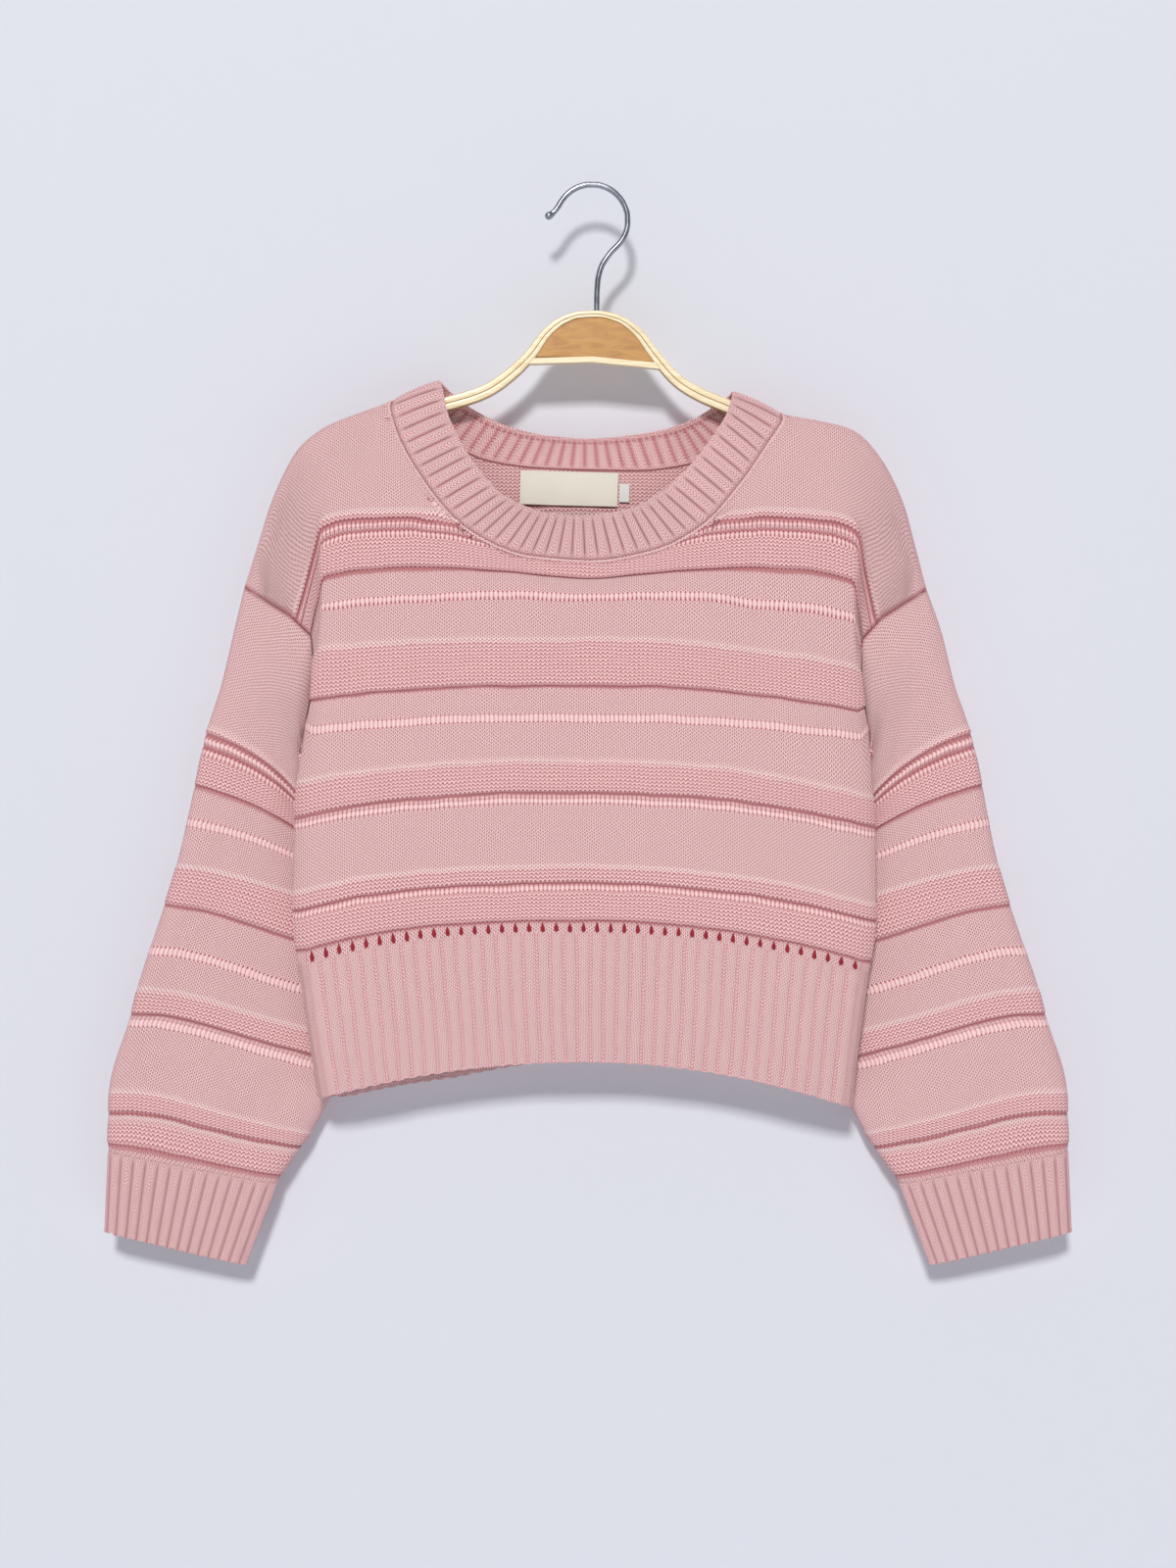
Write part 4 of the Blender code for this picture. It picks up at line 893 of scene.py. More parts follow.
rib_knit = knit_material("rib_knit", 1.05, 1.2, rib=RIB_WALES)
for name, back in (("hem_front", False), ("hem_back", True)):
    side = 1.0 if back else -1.0
    seam, seam_layout = seams[back]
    count = len(seam) - 1
    columns = np.arange(count + 1) - count / 2.0
    middle_x = (HEM_LEFT_X + HEM_RIGHT_X) / 2.0
    seam_middle = (seam[0, 0] + seam[-1, 0]) / 2.0
    stretch = (HEM_RIGHT_X - HEM_LEFT_X) / (seam[-1, 0] - seam[0, 0])
    low_x = middle_x + (seam[:, 0] - seam_middle) * stretch
    across = 2.0 * (low_x - middle_x) / (HEM_RIGHT_X - HEM_LEFT_X)
    low_z = HEM_BOTTOM - np.where(across > 0, HEM_DROP_RIGHT, HEM_DROP_LEFT) * across**2
    if back:
        low_z = low_z - np.interp(across, BACK_HEM_PLACES, BACK_HEM_EXTRA)
    down = np.concatenate([np.linspace(0.0, 0.97, HEM_ROWS - 3), (0.98, 0.99, 1.0)])[:, None]
    top_z = seam[:, 2] - JOINT_GAP
    inner = np.minimum(np.arange(count + 1), count - np.arange(count + 1)) / RIB_COLUMNS
    held = np.clip(inner, 0, 1)[None, :]
    points = np.empty((len(down), count + 1, 3))
    points[:, :, 0] = seam[:, 0] + (low_x - seam[:, 0]) * down
    points[:, :, 2] = top_z + (low_z - top_z) * down
    belly = 0.5 * down + 3.0 * down * (1.0 - down)
    points[:, :, 1] = seam[:, 1] + side * belly * held
    wave = np.cos(2.0 * math.pi * columns / RIB_COLUMNS)
    ribs = RIB * (0.5 + 0.5 * np.clip(1.8 * wave + 1.0, -1, 1)) * ramp(down, 0.02) * held
    fall = top_z - points[:, :, 2]
    edge = (top_z - low_z)[None, :] - fall
    roll = 0.5 * fade(edge, CAST_ON) * held
    sway = wander(points[:, :, 0], points[:, :, 2] * 0.5, 0.9, 4.0 + side) * ramp(down, 0.3) * held
    points[:, :, 1] += side * (ribs + roll + sway)
    points[:, :, 2] += 0.5 * wave * fade(edge, 3.0) * held
    points[:, :, 0] += 0.5 * np.sin(points[:, :, 2] / 17.0 + columns * 0.05) * held * down
    # Painted shade: faint at the seam, and in the grooves between ribs
    shade = np.maximum(0.06 * hump(fall, 0.0, 1.6), 0.32 * np.clip(-wave, 0, 1) ** 4 * held)
    wales = np.repeat(columns[None, :] * RIB_WALES / RIB_COLUMNS, len(down), axis=0)
    layout = np.stack([wales, seam_layout[:, 1] - fall / COURSE], axis=2)
    if back:
        points, layout, shade = points[:, ::-1], layout[:, ::-1], shade[:, ::-1]
    # The rows run downwards here, so they are turned over to keep the outside out
    hem = knit_sheet(name, points[::-1], layout[::-1], shade[::-1], rib_knit)

# Sleeves --------------------------------------------------------------------------------
# Full tubes with dropped shoulders, linked to the armholes. They carry the same welts as
# the body, lower down, and fall folded flat against the body's sides.

MIRROR_X = -2.6
RIGHT_TUCK = 5.0
END_FOLD = 13.0
END_BELLY = 0.12
SLEEVE_COLUMNS = 64
SLEEVE_SPREAD = 120.0
RIGHT_CREASE_SHIFT = 0.06
RIGHT_CREASE_TURN = 9.0
# Lift of the lower sections: how far, and between which depths below the origin
LOW_LIFT = 5.0
LIFT_TOP = 420.0
LIFT_BOTTOM = 654.5

# Sections of the left sleeve: outer edge x and height, inner edge x and height, bow of the
# section upwards, middle depth at the outer and at the inner edge, half depth
SLEEVE = (
    (-243.0, -302.0, -198.5, -384.0, 17.0, 1.0, 3.5, 7.5),
    (-252.1, -337.0, -194.0, -408.0, 12.0, 2.5, 14.0, 9.0),
    (-262.7, -369.0, -189.0, -429.0, 10.0, 4.0, 21.5, 9.0),
    (-270.6, -405.9, -178.0, -455.0, 7.0, 5.5, 26.0, 9.0),
    (-282.5, -460.0, -163.7, -494.0, 3.0, 7.0, 27.0, 9.0),
    (-290.4, -486.4, -162.5, -524.0, 1.0, 7.0, 27.0, 9.0),
    (-309.5, -544.5, -167.7, -579.5, 0.0, 7.0, 26.5, 9.0),
    (-313.5, -561.0, -171.0, -594.7, 0.0, 7.0, 26.0, 9.0),
    (-328.7, -613.1, -192.7, -643.5, 0.0, 8.0, 22.0, 9.0),
    (-329.5, -628.3, -198.7, -652.7, 0.0, 8.5, 20.0, 9.0),
    (-330.3, -649.4, -212.5, -672.5, 0.0, 9.0, 17.0, 8.5),
    (-329.0, -654.5, -215.5, -677.5, 0.0, 9.0, 16.0, 8.0),
)
ARMHOLE_TOP = -271.3
ARMHOLE_SHARES = (0.0, 0.03, 0.12, 0.36, 0.62, 0.84, 0.95, 1.0)

# Rows of the sleeves, as heights on the outer edge: painted shadow lines under the welts,
# over a real dip, painted highlight lines on the welts' tops over a real rise, the purl
# welts, and the rows of dropped stitches
SLEEVE_SHADOW_LINES = (-370.3, -378.2, -405.2, -486.4, -561.0, -628.3, -649.4)
SLEEVE_HIGHLIGHT_LINES = (-365.4, -460.3, -544.5, -613.3, -632.0)
SLEEVE_PURLS = ((-370.1, -365.8), (-405.2, -384.6), (-486.4, -460.8), (-561.0, -545.3),
                (-628.3, -613.8), (-649.4, -635.2))
SLEEVE_LONGS = ((-374.3, 2.4), (-381.6, 2.4), (-430.0, 3.3), (-518.0, 3.3), (-567.0, 3.2))

# Soft creases of a sleeve: share across and height of the middle, reach along and across in
# millimetres, slope in degrees, depth
SLEEVE_CREASES = (
    (0.55, -350.0, 46.0, 9.0, -62.0, -1.6),
    (0.35, -452.0, 60.0, 14.0, -70.0, 1.2),
    (0.62, -505.0, 42.0, 12.0, -48.0, -1.3),
    (0.25, -560.0, 50.0, 13.0, -80.0, -1.0),
    (0.50, -600.0, 34.0, 10.0, -58.0, 1.0),
    (0.72, -640.0, 26.0, 8.0, -75.0, -1.1),
)


def section_points(section, shares, sides, right):
    """Points of a section at shares of the way from outer to inner edge, front -1 or back 1."""
    outer = np.array((section[0], 0.0, section[1]))
    chord = np.array((section[2], 0.0, section[3])) - outer
    length = np.linalg.norm(chord)
    from_end = np.clip(np.minimum(shares, 1.0 - shares) * length / END_FOLD, 0.0, 1.0)
    swell = sides * (1.0 - END_BELLY * (2.0 * shares - 1.0) ** 2)
    swell = swell * np.sqrt(1.0 - (1.0 - from_end) ** 2)
    upward = np.array((-chord[2], 0.0, chord[0])) / length
    bow = section[4] * 4.0 * shares * (1.0 - shares)
    points = outer + chord * shares[:, None] + upward * bow[:, None]
    points[:, 1] = section[5] + (section[6] - section[5]) * shares + swell * section[7]
    if right:
        tucked = clamp((-370.0 - section[3]) / 20.0) * clamp((section[3] + 560.0) / 60.0)
        points[:, 0] = 2.0 * MIRROR_X - points[:, 0] - RIGHT_TUCK * tucked * shares**2
    return points


def tube_ways(points):
    """Way that each point of a tube faces, outwards."""
    ways = grid_normals(points, closed=True)
    outwards = np.sum((points - points.mean(axis=1, keepdims=True)) * ways) > 0.0
    return ways if outwards else -ways


def mirrored(points, shade, layout):
    """Grids of a right-hand tube turned over, with its first column kept first."""
    return (np.roll(points[:, ::-1], 1, axis=1), np.roll(shade[:, ::-1], 1, axis=1),
            layout[:, ::-1])


sleeve_knit = knit_material("sleeve_knit", 1.0, 1.5, SLEEVE_SHADOW_LINES, SLEEVE_HIGHLIGHT_LINES, SLEEVE_PURLS,
                            SLEEVE_LONGS)
even = np.linspace(0.0, 1.0, SLEEVE_COLUMNS + 1)
spread = even - 0.07 * np.sin(2.0 * math.pi * even)
sleeve_shares = np.concatenate([spread[::-1], spread[1:-1]])
sleeve_sides = np.concatenate([-np.ones(SLEEVE_COLUMNS + 1), np.ones(SLEEVE_COLUMNS - 1)])
sleeve_keys = np.array([-ARMHOLE_TOP] + [-row[1] for row in SLEEVE])
for name, right in (("sleeve_left", False), ("sleeve_right", True)):
    arms = np.interp(sleeve_shares, ARMHOLE_SHARES, np.arange(7, -1, -1))
    armhole = np.array([armhole_point(arm, right, side > 0)
                        for arm, side in zip(arms, sleeve_sides)])
    ring_1 = section_points(SLEEVE[0], sleeve_shares, sleeve_sides, right)
    armhole = armhole + unit(ring_1 - armhole) * SEAM_GAP
    guide = [armhole, ring_1] + [section_points(row, sleeve_shares, sleeve_sides, right)
                                 for row in SLEEVE[1:]]
    rows = -fine_rows(SLEEVE[-1][1], ARMHOLE_TOP, SLEEVE_SHADOW_LINES)[::-1]
    points = smooth_through(np.array(guide), sleeve_keys, rows)
    level = np.repeat(-rows[:, None], len(sleeve_shares), axis=1)
    # Below the elbow each section is lifted, most a quarter of the way in from its outer edge
    low = ramp(rows - LIFT_TOP, 100.0)[:, None] * ramp(LIFT_BOTTOM - rows, 12.0)[:, None]
    points[:, :, 2] += LOW_LIFT * low * sleeve_shares * (1.0 - sleeve_shares) ** 3 / 0.105
    ways = tube_ways(points)
    lift = relief(level, SLEEVE_SHADOW_LINES, SLEEVE_HIGHLIGHT_LINES, SLEEVE_PURLS, SLEEVE_LONGS)
    ends = ramp(rows - rows[0], 2.0) * ramp(rows[-1] - rows, 2.0)
    edge = np.clip(np.minimum(sleeve_shares, 1.0 - sleeve_shares) / 0.02, 0.35, 1.0)
    lift = lift * ends[:, None] * edge[None, :]
    calm = ramp(rows - rows[0], 30.0) * ramp(rows[-1] - rows, 20.0)
    across = sleeve_shares * SLEEVE_SPREAD
    waves = wander(across[None, :] * sleeve_sides, level * 0.7, 1.0, 5.0 + right)
    lift = lift + waves * calm[:, None]
    for share, height, reach, width, slope, depth in SLEEVE_CREASES:
        middle = SLEEVE_SPREAD * (share - RIGHT_CREASE_SHIFT * right)
        bend = crease(across[None, :] - middle, level - height, reach, width,
                      slope + RIGHT_CREASE_TURN * right)
        lift = lift + depth * bend * calm[:, None] * np.where(sleeve_sides < 0, 1.0, 0.7)
    points = points + ways * lift[:, :, None]
    # Painted shade along the armhole seam
    shade = 0.6 * hump(np.repeat((rows - rows[0])[:, None], points.shape[1], axis=1), 0.0, 1.5)
    run = walked(closed_up(points), axis=1)
    run = run - run[:, [SLEEVE_COLUMNS]]
    layout = np.stack([run / WALE, closed_up(level) / COURSE], axis=2)
    if right:
        points, shade, layout = mirrored(points, shade, layout)
    sleeve = knit_sheet(name, points, layout, shade, sleeve_knit, closed=True)

# Cuffs ----------------------------------------------------------------------------------
# Deep rib knitted on from each sleeve: wide ribs with narrow grooves between them, and a
# cast-on edge like the hem's.

CUFF_RIBS = 29
CUFF_COLUMNS = 40
CUFF_STEPS = 8
CUFF_ROWS = 24
CUFF_GROOVE = 0.24
CUFF_SCALLOP = 0.7
CUFF_END = (-331.3, -708.8, -236.3, -732.6, 0.0, 8.0, 14.0, 7.0)

for name, right in (("cuff_left", False), ("cuff_right", True)):
    rings = []
    shares = (1.0 - np.cos(math.pi * np.arange(CUFF_COLUMNS + 1) / CUFF_COLUMNS)) / 2.0
    shares = np.concatenate([shares[::-1], shares[1:-1]])
    sides = np.concatenate([-np.ones(CUFF_COLUMNS + 1), np.ones(CUFF_COLUMNS - 1)])
    downs = np.concatenate([np.linspace(0.0, 0.955, CUFF_ROWS - 3), (0.97, 0.985, 1.0)])
    for down in downs:
        section = mix(np.array(SLEEVE[-1]), np.array(CUFF_END), down)
        ring = section_points(section, shares, sides, right)
        around = np.concatenate([ring, ring[:1]])
        run = walked(around)
        at = np.linspace(0.0, run[-1], CUFF_RIBS * CUFF_STEPS + 1)[:-1]
        rings.append(np.stack([np.interp(at, run, around[:, c]) for c in range(3)], axis=1))
    points = np.array(rings)
    along = unit(points[-1].mean(axis=0) - points[0].mean(axis=0))
    points = points + along * JOINT_GAP * (1.0 - downs)[:, None, None]
    ways = tube_ways(points)
    phase = np.arange(CUFF_RIBS * CUFF_STEPS) / CUFF_STEPS
    groove = fade(np.abs((phase + 0.5) % 1.0 - 0.5), CUFF_GROOVE)
    fall = np.linalg.norm(points - points[0], axis=2)
    edge = fall[-1] - fall
    start = ramp(fall - 0.5, 3.0)
    roll = 0.5 * fade(edge, CAST_ON)
    lift = RIB * (1.0 - groove[None, :] * start) - RIB * 0.3 * hump(fall, 0.0, 2.0) + roll
    points = points + ways * lift[:, :, None]
    scallop = CUFF_SCALLOP * np.cos(2 * math.pi * phase)
    points = points + along * scallop[None, :, None] * fade(edge, 3.0)[:, :, None]
    # Painted shade: faint at the seam, and in the grooves between ribs
    shade = np.maximum(0.1 * hump(fall, 0.0, 1.6), 0.6 * groove[None, :] ** 1.5 * start)
    wales = np.repeat(np.append(phase, CUFF_RIBS)[None, :] * RIB_WALES, len(points), axis=0)
    layout = np.stack([wales, -closed_up(fall) / COURSE], axis=2)
    if right:
        points, shade, layout = mirrored(points, shade, layout)
    cuff = knit_sheet(name, points, layout, shade, rib_knit, closed=True)

# Neckband -------------------------------------------------------------------------------
# A ribbed ring picked up round the neck and linked to it with a chain of yarn. Its edge is
# bound off and rolls a little; at the back it stands higher and shows its inside.

NECK_RIBS = 73
NECK_STEPS = 8
NECK_ROWS = 14
NECK_GROOVE = 0.17
NECK_BULGE = 1.2
SHOULDER_FACING = (0.37, 0.93)

stations = []
for rows, right, side in ((NECK_FRONT, False, -1.0), (NECK_FRONT[-2::-1], True, -1.0),
                          (NECK_BACK[1:], True, 1.0), (NECK_BACK[-2:0:-1], False, 1.0)):
    out = 1.0 if right else -1.0
    for row in rows:
        seam = (row[4] if right else row[0], side * row[8], row[5] if right else row[1])
        edge = (row[6] if right else row[2], side * row[9], row[7] if right else row[3])
        lean = math.radians(row[10])
        way = (out * SHOULDER_FACING[0] * math.sin(lean), side * math.cos(lean),
               SHOULDER_FACING[1] * math.sin(lean))
        stations.append((seam, edge, way))
stations = np.array(stations)
around_stations = np.concatenate([stations[-2:], stations, stations[:3]])
walk = walked(around_stations[:, 0])


def neck_ring(shares):
    """Seam and edge points at shares of the way round the neck, and the way the wall faces."""
    at = walk[2] + (walk[-3] - walk[2]) * shares
    seam, edge, way = smooth_through(around_stations, walk, at).swapaxes(0, 1)
    return seam, edge, unit(way)


phase = np.arange(NECK_RIBS * NECK_STEPS) / NECK_STEPS
seam, edge, way = neck_ring(phase / NECK_RIBS)
seam = seam + unit(edge - seam) * SEAM_GAP
up = np.linspace(0.0, 1.0, NECK_ROWS)
points = seam[None] + (edge - seam)[None] * up[:, None, None]
groove = fade(np.abs((phase + 0.5) % 1.0 - 0.5), NECK_GROOVE)[None, :]
band = ramp(up - 0.05, 0.06)[:, None] * ramp(0.94 - up, 0.04)[:, None]
bulge = NECK_BULGE * 4.0 * up * (1.0 - up)
lift = bulge[:, None] + RIB * (1.0 - groove * band) - 0.8 * hump(up, 0.0, 0.07)[:, None]
lift = lift - 0.5 * ramp(up - 0.9, 0.1)[:, None]
points = points + way[None] * lift[:, :, None]
# Painted shade in the grooves between ribs and at the seam, and a scalloped painted shadow just
# under the bound-off edge at the back
shade = np.maximum(0.72 * groove**1.3 * band, 0.5 * hump(up, 0.0, 0.08)[:, None])
scallop = hump(up, 0.86, 0.09)[:, None] * (0.55 + 0.35 * np.cos(4.0 * math.pi * phase))[None, :]
shade = np.maximum(shade, scallop * np.clip(way[:, 1] * 2.0, 0, 1)[None, :])
wales = np.repeat(np.append(phase, NECK_RIBS)[None, :] * RIB_WALES, NECK_ROWS, axis=0)
rise = np.linalg.norm(edge - seam, axis=1)
layout = np.stack([wales, up[:, None] * closed_up(rise[None, :]) / COURSE], axis=2)
neckband = knit_sheet("neckband", points, layout, shade, rib_knit, closed=True)

# Neck linking ---------------------------------------------------------------------------
# The chain of yarn that links the neckband to the panels: one stitch a rib wale, lying in a
# zigzag over the seam. It's the same cotton, pulled tight.

CHAIN_RADIUS = 0.6
CHAIN_STITCHES = 292
CHAIN_SIDES = 6


def new_object(name, verts, faces):
    """New object from points in metres and faces, in the scene and the only one selected."""
    mesh = bpy.data.meshes.new(name)
    mesh.from_pydata(verts, [], faces)
    made = bpy.data.objects.new(name, mesh)
    bpy.context.scene.collection.objects.link(made)
    bpy.ops.object.select_all(action="DESELECT")
    bpy.context.view_layer.objects.active = made
    made.select_set(True)
    return made


step = np.arange(CHAIN_STITCHES * 4)
seam, edge, way = neck_ring(step / len(step))
turn = 2.0 * math.pi * step / 4.0
route = (seam + unit(seam - edge) * (1.0 + 0.8 * np.cos(turn))[:, None]
         + way * (0.8 + 0.25 * np.sin(turn))[:, None])
tangent = unit(np.roll(route, -1, axis=0) - np.roll(route, 1, axis=0))
beside = unit(np.cross(tangent, way))
over = np.cross(beside, tangent)
turn = np.linspace(0.0, 2.0 * math.pi, CHAIN_SIDES + 1)[:-1]
verts = (route[:, None] + CHAIN_RADIUS * (beside[:, None] * np.cos(turn)[None, :, None]
                                          + over[:, None] * np.sin(turn)[None, :, None]))
count = len(route)
faces = [(r * CHAIN_SIDES + c, (r + 1) % count * CHAIN_SIDES + c,
          (r + 1) % count * CHAIN_SIDES + (c + 1) % CHAIN_SIDES,
          r * CHAIN_SIDES + (c + 1) % CHAIN_SIDES)
         for r in range(count) for c in range(CHAIN_SIDES)]
linking = new_object("neck_linking", (verts.reshape(-1, 3) * MM).tolist(), faces)
linking.data.shade_smooth()
yarn, tree, shader = new_material("linking_yarn", {"Roughness": 0.85})
strands = noise(tree, add_node(tree, "TexCoord").outputs["Object"], 900.0)["Fac"]
tree.links.new(mix_colours(tree, strands, YARN, YARN_PALE_AND_HIGHLIGHT), shader.inputs["Base Color"])
dress(linking, yarn)

# Label and size tab ---------------------------------------------------------------------
# A woven cotton tape label, sewn by its top edge inside the back neck, with a small size tab
# of satin tape folded beside it. Both are bare.

LABEL_CENTRE = (-15.6, 10.2, -203.0)
LABEL_SIZE = (66.6, 23.0)
LABEL_TILT = math.radians(1.6)
TAB_CENTRE = (22.2, 10.2, -206.0)
TAB_SIZE = (6.8, 12.5)
TAPE_THICK = 0.7
TAPE_GRID = 1.1
HARD_SMOOTH = math.radians(50)


def woven_material(name, light, dark, threads):
    """Flat woven tape: fine warp and weft along the piece's own UV map."""
    material, tree, shader = new_material(name, {"Roughness": 0.6, "Sheen Weight": 0.1})
    layout, across, up = uv_parts(tree, "weave")
    warp, weft = (arch(tree, calc(tree, "FRACT", calc(tree, "MULTIPLY", way, threads)))
                  for way in (across, up))
    cloth = noise(tree, layout, 1.3, 4.0)["Fac"]
    threadwork = calc(tree, "MULTIPLY", warp, weft)
    raise_surface(tree, shader, calc(tree, "MULTIPLY_ADD", cloth, 0.6, threadwork), 0.12)
    # Painted highlight on the middle of each thread and painted shade between threads; the noise is
    # the tape's own uneven tone
    share = calc(tree, "MULTIPLY_ADD", cloth, 0.7, calc(tree, "MULTIPLY", threadwork, 0.5))
    tree.links.new(mix_colours(tree, share, dark, light), shader.inputs["Base Color"])
    return material


def tape(node, centre, size, tilt, swell, material):
    """Thin tape with soft waves, facing forwards; size in millimetres."""
    columns, rows = (max(8, round(length / TAPE_GRID)) for length in size)
    bpy.ops.object.select_all(action="DESELECT")
    bpy.ops.mesh.primitive_grid_add(x_subdivisions=columns, y_subdivisions=rows, size=1.0,
                                    calc_uvs=True)
    made = bpy.context.object
    made.name = made.data.name = node + "_tape"
    uv = made.data.uv_layers[0]
    uv.name = "weave"
    for corner in uv.data:
        corner.uv = (corner.uv[0] * size[0], corner.uv[1] * size[1])
    for vertex in made.data.vertices:
        across, up = vertex.co.x * size[0], vertex.co.y * size[1]
        soft = swell * (math.sin(across / 9.0 + up / 14.0)
                        + 0.6 * math.sin(across / 4.1 - up / 8.0))
        loose = 1.0 - clamp((up / size[1] + 0.5) * 1.05)
        corner_curl = 0.5 * swell * (2.0 * abs(across) / size[0]) ** 6
        x = centre[0] + across * math.cos(tilt) + up * math.sin(tilt)
        z = centre[2] - across * math.sin(tilt) + up * math.cos(tilt)
        y = centre[1] - TAPE_THICK / 2.0 - soft * (0.4 + loose) - corner_curl
        vertex.co = (x * MM, y * MM, z * MM)
    thicken(made, TAPE_THICK)
    bpy.ops.object.shade_smooth_by_angle(angle=HARD_SMOOTH)
    return dress(made, material, node)


label_tape = woven_material("label_tape", (0.82, 0.80, 0.72, 1.0), (0.68, 0.65, 0.57, 1.0), 1.3)
tab_tape = woven_material("tab_tape", (0.86, 0.86, 0.85, 1.0), (0.72, 0.72, 0.72, 1.0), 2.1)
label = tape("label", LABEL_CENTRE, LABEL_SIZE, LABEL_TILT, 0.30, label_tape)
size_tab = tape("size_tab", TAB_CENTRE, TAB_SIZE, LABEL_TILT, 0.12, tab_tape)

# Hanger ---------------------------------------------------------------------------------
# Two strips of pale birch bent to a hump and glued together, with a bar glued across under
# the hump and a board of honey-coloured plywood filling it. All are clear varnished.

HANGER_THICK = 8.0
STRIP = 4.5

# Both strips are thinner over the hump, the lower one more: shares of STRIP
HUMP_MIDDLE = 2.0
HUMP_REACH = 32.0
UPPER_THINNING = 0.38
LOWER_THINNING = 0.64

# The bar's top and bottom edges, half the thickness of the bar and of the board, and how far
# the board runs into the strip and the bar
BAR_TOP = ((-45.0, -116.4), (0.0, -115.1), (46.0, -119.6))
BAR_BOTTOM = ((46.0, -123.6), (0.0, -119.0), (-45.0, -120.4))
BAR_HALF = 3.7
BOARD_HALF = 2.8
BOARD_OVERLAP = 0.5
BOARD_ENDS = (-41.0, 44.0)

# Top edge of the hanger's bow, left to right: x and height
BOW = (
    (-186.0, -173.0),
    (-167.0, -163.0),
    (-136.0, -151.2),
    (-99.0, -142.6),
    (-74.0, -134.6),
    (-55.4, -122.0),
    (-44.0, -111.0),
    (-33.0, -97.0),
    (-19.8, -87.6),
    (-7.3, -84.3),
    (3.3, -84.0),
    (18.5, -87.0),
    (33.7, -97.0),
    (45.0, -111.0),
    (61.4, -128.7),
    (74.6, -136.6),
    (93.0, -144.2),
    (129.0, -160.8),
    (162.0, -166.0),
    (179.0, -173.0),
)


def tube_faces(rows, around):
    """Faces of a tube of rings, with a cap at each end."""
    faces = [(r * around + c, r * around + (c + 1) % around, (r + 1) * around + (c + 1) % around,
              (r + 1) * around + c) for r in range(rows - 1) for c in range(around)]
    return faces + [tuple(range(around))[::-1], tuple(range((rows - 1) * around, rows * around))]


def wood_material(name, light, dark, grain_scale, line=None):
    """Varnished wood: fine grain drawn out along x, and dark glue lines at a strip's faces."""
    material, tree, shader = new_material(
        name, {"Roughness": 0.38, "Coat Weight": 0.25, "Coat Roughness": 0.2})
    place = add_node(tree, "TexCoord").outputs["Object"]
    stretch = add_node(tree, "Mapping", {"Vector": place, "Scale": grain_scale})
    grain = noise(tree, stretch.outputs["Vector"], 1.0, 5.0, 1.2)["Fac"]
    colour = add_node(tree, "ValToRGB", {"Fac": grain})
    for stop, position, tone in zip(colour.color_ramp.elements, (0.34, 0.62), (dark, light)):
        stop.position, stop.color = position, tone
    finish = colour.outputs["Color"]
    if line:
        depth = calc(tree, "ABSOLUTE", calc(tree, "SUBTRACT", uv_parts(tree, "along")[2], 0.5))
        glue = calc(tree, "MULTIPLY", calc(tree, "GREATER_THAN", depth, 0.42), 0.8)
        finish = mix_colours(tree, glue, finish, line)
    tree.links.new(finish, shader.inputs["Base Color"])
    raise_surface(tree, shader, grain, 0.08)
    return material


pale_wood = (0.86, 0.76, 0.53, 1.0), (0.74, 0.61, 0.38, 1.0), (26.0, 400.0, 400.0)
birch = wood_material("birch", *pale_wood, line=(0.45, 0.29, 0.10, 1.0))
bar_birch = wood_material("bar_birch", *pale_wood)
honey = wood_material("honey", (0.49, 0.24, 0.045, 1.0), (0.38, 0.165, 0.026, 1.0),
                      (50.0, 150.0, 170.0))

walk = walked(np.array(BOW))
path = smooth_through(BOW, walk, np.linspace(0.0, walk[-1], 181))
tangent = unit(np.gradient(path, axis=0))
below = np.stack([tangent[:, 1], -tangent[:, 0]], axis=1)
# Section of a strip, down from its top and forward of the middle, with eased corners
half = HANGER_THICK / 2.0
section = [(0.0, half - 0.9), (0.3, half - 0.3), (0.9, half), (STRIP - 0.5, half),
           (STRIP - 0.15, half - 0.15), (STRIP, half - 0.5)]
section = section + [(down, -deep) for down, deep in section[::-1]]
thinned = np.exp(-0.5 * ((path[:, 0] - HUMP_MIDDLE) / HUMP_REACH) ** 2)
upper_share = 1.0 - UPPER_THINNING * thinned
lower_share = 1.0 - LOWER_THINNING * thinned
lower_start = STRIP * upper_share + JOINT_GAP
for name, starts, shares, flip in (("hanger_strip_upper", 0.0 * thinned, upper_share, False),
                                   ("hanger_strip_lower", lower_start, lower_share, True)):
    outline = [((STRIP - down) if flip else down, deep) for down, deep in section]
    verts = []
    for point, way, start, share in zip(path, below, starts, shares):
        for down, deep in outline:
            x, z = point + way * (start + down * share)
            verts.append((x * MM, -deep * MM, z * MM))
    around = len(outline)
    faces = tube_faces(len(path), around)
    if not flip:
        faces = [face[::-1] for face in faces]
    strip = new_object(name + "_wood", verts, faces)
    layer = strip.data.uv_layers.new(name="along")
    for loop in strip.data.loops:
        row, place = divmod(loop.vertex_index, around)
        layer.data[loop.index].uv = (row * 2.0 * MM, outline[place][0] / STRIP)
    bpy.ops.object.shade_smooth_by_angle(angle=HARD_SMOOTH)
    dress(strip, birch, name)

